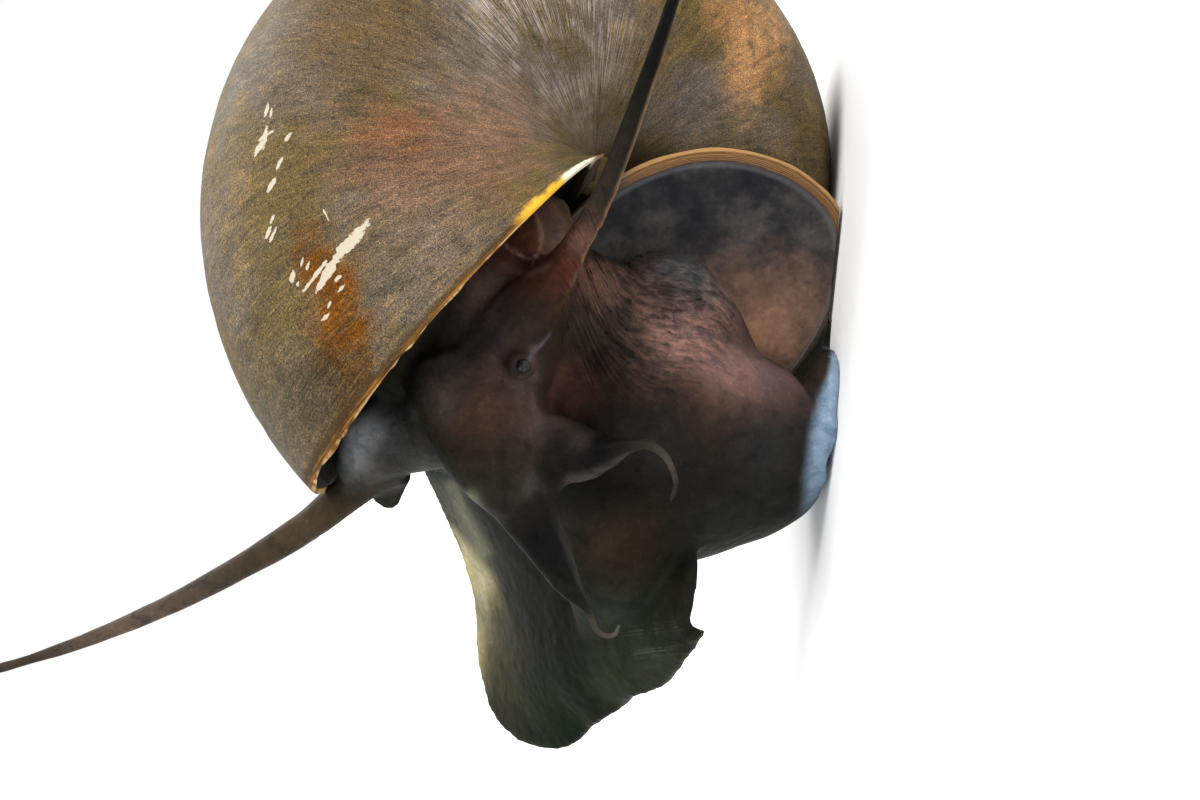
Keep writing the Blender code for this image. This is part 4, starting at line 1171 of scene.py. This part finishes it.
# Patches of the shell: (centre, half sizes, turn about X, colour, strength).
SHELL_PATCHES = (
    ((24.8, 15.0, 32.4), (30.0, 5.2, 7.0), 0.0, (0.140, 0.073, 0.046), 0.75),
    ((24.8, 16.6, 34.0), (30.0, 2.0, 3.0), 0.3, (0.165, 0.058, 0.022), 0.4),
    ((28.5, 3.4, 37.2), (30.0, 4.6, 2.4), 0.25, (0.105, 0.038, 0.002), 1.0),
    ((28.0, 6.8, 38.8), (30.0, 3.4, 1.8), 0.5, (0.100, 0.036, 0.002), 0.95),
    ((28.0, -2.0, 37.4), (30.0, 4.0, 3.2), 0.2, (0.040, 0.021, 0.004), 0.85),
    ((7.2, 26.0, 7.6), (30.0, 4.6, 2.6), -0.35, (0.380, 0.205, 0.090), 0.85),
    ((8.0, 29.5, 10.0), (30.0, 3.0, 2.4), -0.2, (0.290, 0.150, 0.060), 0.7),
    ((27.2, 9.5, 31.5), (30.0, 4.0, 5.0), 0.5, (0.130, 0.092, 0.066), 0.5),
    ((21.0, 24.0, 37.0), (30.0, 7.0, 6.0), 0.0, (0.080, 0.050, 0.020), 0.7),
    ((20.1, 18.3, 27.0), (30.0, 4.0, 4.0), 0.0, (0.185, 0.110, 0.078), 0.6),
    ((7.6, 21.5, 12.0), (30.0, 3.8, 3.2), 0.0, (0.088, 0.080, 0.082), 0.7),
    ((23.0, -5.0, 40.5), (30.0, 6.0, 4.0), 0.0, (0.070, 0.062, 0.042), 0.6),
)
SHELL_OLIVE = (0.092, 0.066, 0.025)
SHELL_BROWN = (0.104, 0.084, 0.064)
SHELL_PALE = (0.270, 0.190, 0.100)
# Painted sheen: a pale grey reflection of the light towards the back of the shell.
SHELL_PAINTED_SHEEN = (0.580, 0.520, 0.520)
SHELL_CHIPPED = (0.47, 0.41, 0.31)
LIP_ORANGE = (0.30, 0.125, 0.020)
# The yellow and white of the lip's root: its own pale colour brightened by a painted glow of light through
# the thin shell.
LIP_YELLOW_AND_GLOW = (0.80, 0.42, 0.03)
LIP_WHITE_AND_GLOW = (0.92, 0.84, 0.62)
LIP_BROWN = (0.050, 0.026, 0.009)
LIP_PALE = (0.56, 0.38, 0.17)


def chipped(made):
    """1 on every worn streak of the shell, and 0 elsewhere."""
    rough = made.noise(made.place(), 1700.0, 4.0, 0.7)
    worn = 0.0
    for x, *ends, half_width in CHIPS:
        start, end = ends[:2], ends[2:]
        middle = (x, (start[0] + end[0]) / 2, (start[1] + end[1]) / 2)
        half_length = math.dist(start, end) / 2 * CHIP_SPREAD
        turn = math.atan2(end[1] - start[1], end[0] - start[0])
        size = (CHIP_DEPTH, half_length, half_width * CHIP_SPREAD)
        chip = made.ramp(made.blot(middle, size, turn, 2.4, rough), 1.04, 0.88)
        worn = made.maths("MAXIMUM", worn, chip)
    return worn


def lay_lip(made, turns, x, y, torn):
    """The lip: a dark band, an orange edge in layers, a pale rim, and yellow to white at its root, where
    its own pale colour is brightened by a painted glow of light through the thin shell.
    """

    def past(fray, low, high):
        return made.ramp(turns + torn * fray, low, high)

    made.lay(past(0.0060, -0.0040, -0.0010) * 0.75, LIP_BROWN)
    layers = made.noise(made.joined(turns * 2600.0, x * 5.0, y * 5.0), 1.0)
    layered = made.mix(made.ramp(layers, 0.42, 0.58), LIP_BROWN, LIP_ORANGE)
    made.lay(past(0.0040, -0.0012, 0.0004) * 0.95, layered)
    made.lay(past(0.0016, 0.0, 0.0006) * made.ramp(torn, 0.40, 0.55, 0.8), LIP_PALE)
    made.coat(made.value("depth_in_tube"), 0.985, 0.965, 1.0, (0.050, 0.036, 0.026))
    # Painted glow: yellow, then white at the lip's root, over its own pale colour.
    root = made.ramp(made.blot((25.4, 14.5, 21.6), (9.0, 2.2, 5.6), 0.63, 0.8, 500.0), 1.15, 0.6)
    made.lay(root * past(0.024, -0.001, 0.009), LIP_YELLOW_AND_GLOW)
    end = made.ramp(made.blot((25.0, 16.0, 19.4), (9.0, 2.0, 3.4), 0.63, 0.8, 500.0), 1.2, 0.7)
    made.lay(end * past(0.016, -0.010, -0.003), LIP_WHITE_AND_GLOW)


def lay_ground(made, place, golden):
    """Olive to grey-brown ground with a golden cast, and the patches over it."""
    cloud = made.noise(place, 110.0, 5.0, 0.6)
    made.tone = made.mix(made.ramp(cloud, 0.40, 0.60), SHELL_OLIVE, SHELL_BROWN)
    made.coat(golden, 0.50, 0.66, 0.6, (0.170, 0.108, 0.034))
    for centre, size, turn, tint, strength in SHELL_PATCHES:
        made.coat(made.blot(centre, size, turn, 1.9, 380.0), 1.3, 0.35, strength, tint)


def lay_painted_sheen(made, streak, golden):
    """A painted sheen towards the back of the shell, patchy and streaked: a pale grey reflection of the
    light laid into its colour.
    """
    sheen = made.ramp(made.blot((12.0, 26.0, 24.0), (14.0, 9.0, 7.0), 0.5, 0.8, 300.0), 1.25, 0.4)
    painted_sheen_share = sheen * made.ramp(golden, 0.38, 0.62)
    made.lay(painted_sheen_share * made.ramp(streak, 0.47, 0.62, 0.8), SHELL_PAINTED_SHEEN)


def shell_finish():
    """Dark olive and grey-brown, speckled and streaked along its growth, chipped, with a painted sheen
    towards the back and a painted glow at the lip's root.
    """
    made = Finish("shell_skin", {"Roughness": 0.5, "Specular IOR Level": 0.3, "IOR": 1.18})
    turns, x, y = made.value("turns"), made.value("round_x"), made.value("round_y")
    place = made.place()
    grown = turns + y * y * GROWTH_LAG

    def along_growth(fine, long, detail=3.0, roughness=0.6):
        inputs = (grown * fine, x * long, y * long)
        return made.noise(made.joined(*inputs), 1.0, detail, roughness)

    lines = along_growth(1100.0, 5.0)
    strands = along_growth(260.0, 8.0, 5.0, 0.65)
    dashes = along_growth(950.0, 60.0, roughness=0.65)
    speckle = along_growth(1350.0, 190.0, roughness=0.65)
    bands = along_growth(70.0, 1.2)
    streak = along_growth(1000.0, 4.0, 4.0, 0.75)
    torn = along_growth(60.0, 14.0, 4.0, 0.7)
    blotch = made.noise(place, 420.0, 5.0, 0.65, 0.6)
    golden = made.noise(place, 230.0, 5.0, 0.65)
    lay_ground(made, place, golden)
    made.coat(bands, 0.50, 0.30, 0.5, (0.050, 0.042, 0.028))
    made.coat(blotch, 0.47, 0.32, 0.55, (0.045, 0.040, 0.024))
    made.shade(strands, 0.52, 0.66, 0.45, (1.75, 1.68, 1.60))
    made.shade(strands, 0.48, 0.34, 0.55, (0.44, 0.45, 0.49))
    made.coat(lines, 0.52, 0.72, 0.30, SHELL_PALE)
    made.shade(dashes, 0.53, 0.70, 0.6, (2.0, 1.8, 1.5))
    made.shade(dashes, 0.47, 0.33, 0.6, (0.30, 0.30, 0.32))
    made.shade(speckle, 0.51, 0.66, 0.9, (2.3, 2.1, 1.8))
    made.shade(speckle, 0.50, 0.35, 0.85, (0.20, 0.20, 0.22))
    lay_painted_sheen(made, streak, golden)
    lay_lip(made, turns, x, y, torn)
    worn = chipped(made)
    made.lay(worn, SHELL_CHIPPED)
    height = lines * 0.6 + dashes * 0.5 + speckle * 0.6
    made.bump(height - worn * 1.2, 0.00006, 0.8)
    made.bump(blotch, 0.00008, 0.5)
    return made.finish(made.ramp(blotch, 0.2, 0.9) * 0.25 + 0.42)


MOIST = {
    "Roughness": 0.5,
    "Specular IOR Level": 0.3,
    "IOR": 1.15,
    "Subsurface Weight": 0.05,
    "Subsurface Radius": (1.0, 0.45, 0.3),
    "Subsurface Scale": 0.0008,
}


def skin_finish():
    """Moist dark skin: the tints, finely mottled, pebbled all over and folded under the lump, with painted
    shade in the folds' valleys and painted light on their ridges.
    """
    made = Finish("moist_skin", MOIST)
    made.tone = made.value("tint", "Color")
    place = made.place()
    mottle = made.noise(place, 900.0, 5.0, 0.65)
    broad = made.noise(place, 330.0, 4.0, 0.6, 0.6)
    grain = made.noise(place, 3600.0, 3.0, 0.6)
    made.shade(broad, 0.50, 0.68, 0.45, (1.6, 1.4, 1.3))
    made.shade(broad, 0.48, 0.32, 0.65, (0.40, 0.48, 0.54))
    made.shade(mottle, 0.52, 0.68, 0.5, (1.6, 1.5, 1.4))
    made.shade(mottle, 0.46, 0.34, 0.5, (0.50, 0.52, 0.55))
    made.shade(grain, 0.56, 0.70, 0.30, (1.8, 1.8, 1.7))
    folded = made.value("folded")
    across = made.value("sweep") * 2.5 + mottle * 1.5
    x, y, z = (made.part(place, letter) for letter in "XYZ")
    folds = made.noise(made.joined(across, z * 700.0, x * 300.0), 1.0, 3.0, 0.55)
    # Painted shade in the folds' valleys and painted light on their ridges, from the noise that also bumps
    # them.
    made.lay(folded * made.ramp(folds, 0.48, 0.36, 0.7), (0.38, 0.39, 0.42), "MULTIPLY")
    made.lay(folded * made.ramp(folds, 0.52, 0.64, 0.6), (1.9, 1.65, 1.5), "MULTIPLY")
    groove = made.value("groove")
    ribs = made.noise(made.joined(groove * 4.5, y * 90.0, 0.0), 1.0, 2.0, 0.5)
    ribbed = made.ramp(groove, 1.6, 0.8) * made.ramp(ribs, 0.50, 0.62, 0.7)
    ribbed = ribbed * made.value("groove_depth")
    made.lay(ribbed * made.ramp(broad, 0.40, 0.56), (0.090, 0.100, 0.070))
    pebbles = {"Vector": place, "Scale": 1250.0}
    pebbled = made.ramp(made.node("TexVoronoi", pebbles, "Distance", feature="SMOOTH_F1"), 0.9, 0.1)
    made.bump(folds * folded, 0.0007, 1.0)
    made.bump(pebbled * (folded * 0.8 + 0.2), 0.00026, 0.9)
    made.bump(mottle, 0.00008, 0.6)
    made.bump(grain, 0.00003, 0.6)
    return made.finish()


def operculum_finish():
    """Dark mottled horn with painted glow where light comes through it: brown and amber patches, and a
    layered rim that is orange above, brightest at its upper edge, and plain brown-grey below.
    """
    made = Finish("horn", {"Roughness": 0.46, "Specular IOR Level": 0.3, "IOR": 1.25})
    share = made.value("share")
    place = made.place()
    y, z = (made.part(place, letter) for letter in "YZ")
    cloud = made.noise(place, 240.0, 5.0, 0.65)
    grain = made.noise(place, 2200.0, 4.0, 0.65)
    torn = share + made.noise(place, 500.0, 4.0, 0.6) * 0.012
    rings = made.noise(made.joined(torn * 75.0, cloud * 1.5, 0.0), 1.5, 3.0, 0.6)
    made.tone = made.mix(made.ramp(cloud, 0.38, 0.66), (0.011, 0.011, 0.013), (0.036, 0.034, 0.034))
    # Painted glow: brown and amber patches where light comes through the plate.
    brown = made.blot((6.0, 5.8, 5.2), (30.0, 5.8, 6.8), 0.0, 1.1, 600.0)
    amber_glow = made.blot((6.0, 4.8, 5.4), (30.0, 3.2, 3.4), 0.0, 1.3, 700.0)
    made.coat(brown, 1.35, 0.1, 0.85, (0.230, 0.132, 0.094))
    made.coat(amber_glow, 1.25, 0.1, 0.75, (0.380, 0.205, 0.120))
    made.coat(cloud, 0.50, 0.72, 0.45, (0.085, 0.075, 0.068))
    made.shade(cloud, 0.46, 0.32, 0.5, (0.55, 0.57, 0.60))
    made.shade(grain, 0.50, 0.72, 0.4, (1.6, 1.6, 1.6))
    made.shade(grain, 0.47, 0.32, 0.5, (0.6, 0.6, 0.6))
    line = made.ramp(torn, 0.890, 0.915) * made.ramp(torn, 0.945, 0.920)
    made.lay(line * 0.4, (0.120, 0.120, 0.135))
    # Painted glow: the rim is orange only on its upper part, and its very edge there is painted bright.
    upper = made.ramp(y, 0.0105, 0.0145) * made.ramp(z, 0.0175, 0.0155)
    ringed = made.ramp(rings, 0.40, 0.60)
    layered = made.mix(ringed, (0.070, 0.034, 0.014), (0.300, 0.155, 0.062))
    plain = made.mix(ringed, (0.030, 0.025, 0.022), (0.095, 0.078, 0.066))
    rim = made.ramp(torn, 0.925, 0.945)
    made.lay(rim, made.mix(upper, plain, layered))
    bright = upper * made.ramp(torn, 0.985, 1.0)
    made.lay(bright * 0.7, (0.52, 0.30, 0.11))
    made.bump(rings * (rim * 0.85 + 0.15), 0.00020, 0.8)
    made.bump(cloud, 0.00015, 0.4)
    made.bump(grain, 0.00004, 0.6)
    return made.finish()


def eye_finish():
    made = Finish("eye_black", {"Roughness": 0.3, "Specular IOR Level": 0.25})
    shade = made.ramp(made.noise(made.place(), 900.0, 2.0), 0.3, 0.7)
    made.tone = made.mix(shade, (0.004, 0.004, 0.005), (0.012, 0.011, 0.012))
    return made.finish()


# Building, with each piece on the one body

HARD_NODES = ("shell", "operculum", "eye_left", "eye_right")
FLESH_NODES = sorted(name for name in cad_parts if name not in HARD_NODES)

pieces = (
    (make_shell(), "snail_shell", "shell", shell_finish(), ["shell"]),
    (make_skin(), "snail_skin", "flesh", skin_finish(), FLESH_NODES),
    (make_operculum(), "snail_operculum", "horn", operculum_finish(), ["operculum"]),
    (make_eye("stalk_left"), "snail_eye_left", "eye", eye_finish(), ["eye_left"]),
    (make_eye("stalk_right"), "snail_eye_right", "eye", eye_finish(), ["eye_right"]),
)
for piece, name, material_slot, finish, nodes in pieces:
    piece.name = name
    piece.data.name = name
    piece.data.materials.clear()
    piece.data.materials.append(finish)
    piece.data.shade_smooth()
    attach(piece, "root")
    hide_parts(*nodes)

# Floor, light and camera

FLOOR_SIZE = 3.0
FLOOR_TONE = (0.92, 0.92, 0.92)
FLOOR_ROUGHNESS = 0.8
FRONT_LIGHT = 0.5
BACK_LIGHT = 1.0
bpy.ops.mesh.primitive_plane_add(size=FLOOR_SIZE, location=(0.0, 0.0, 0.0))
floor = bpy.context.object
floor.name = "floor"
floor.data.materials.append(Finish("pale_floor", {"Roughness": FLOOR_ROUGHNESS}, FLOOR_TONE).finish())

world = bpy.data.worlds.new("studio")
bpy.context.scene.world = world
world.use_nodes = True
light_from = world.node_tree.nodes.new("ShaderNodeTexCoord").outputs["Generated"]
parted = world.node_tree.nodes.new("ShaderNodeSeparateXYZ")
shine = world.node_tree.nodes.new("ShaderNodeMapRange")
shine.interpolation_type = "SMOOTHSTEP"
shine_range = {"From Min": 0.5, "From Max": -0.5, "To Min": FRONT_LIGHT, "To Max": BACK_LIGHT}
for socket, value in shine_range.items():
    shine.inputs[socket].default_value = value
world.node_tree.links.new(light_from, parted.inputs[0])
world.node_tree.links.new(parted.outputs["X"], shine.inputs["Value"])
world.node_tree.links.new(shine.outputs[0], world.node_tree.nodes["Background"].inputs["Strength"])
world.node_tree.nodes["Background"].inputs["Color"].default_value = (1.0, 1.0, 1.0, 1.0)
bpy.context.scene.view_settings.view_transform = "Standard"

# Lights: (name, where it shines from, spread in degrees, strength).
LIGHTS = (
    ("key", (0.40, 0.45, 0.55), 25.0, 2.9),
    ("side", (0.35, -0.45, 0.35), 45.0, 1.2),
    ("back", (-0.45, 0.25, 0.50), 45.0, 2.4),
)
for name, place, spread, strength in LIGHTS:
    lamp = bpy.data.lights.new(name, "SUN")
    lamp.angle = math.radians(spread)
    lamp.energy = strength
    light = linked(name, lamp)
    away = unit(place)
    side = unit(np.cross((0.0, 0.0, 1.0), away))
    turned = np.stack([side, np.cross(away, side), away], axis=1)
    light.matrix_world = Matrix.Translation(place) @ Matrix(turned.tolist()).to_4x4()

CAMERA_PLACE = (0.3233, -0.00079, 0.04458)
CAMERA_RIGHT = (0.08682, 0.08716, -0.9924)
CAMERA_UP = (-0.0076, 0.99619, 0.08682)
CAMERA_BACK = (0.99619, 0.0, 0.08716)
CAMERA_LENS = 128.7
CAMERA_SENSOR = 36.0
CAMERA_NEAR = 0.01
camera_data = bpy.data.cameras.new("camera")
camera_data.sensor_width = CAMERA_SENSOR
camera_data.lens = CAMERA_LENS
camera_data.clip_start = CAMERA_NEAR
camera = linked("camera", camera_data)
turned = Matrix(np.stack([CAMERA_RIGHT, CAMERA_UP, CAMERA_BACK], axis=1).tolist())
camera.matrix_world = Matrix.Translation(CAMERA_PLACE) @ turned.to_4x4()
bpy.context.scene.camera = camera
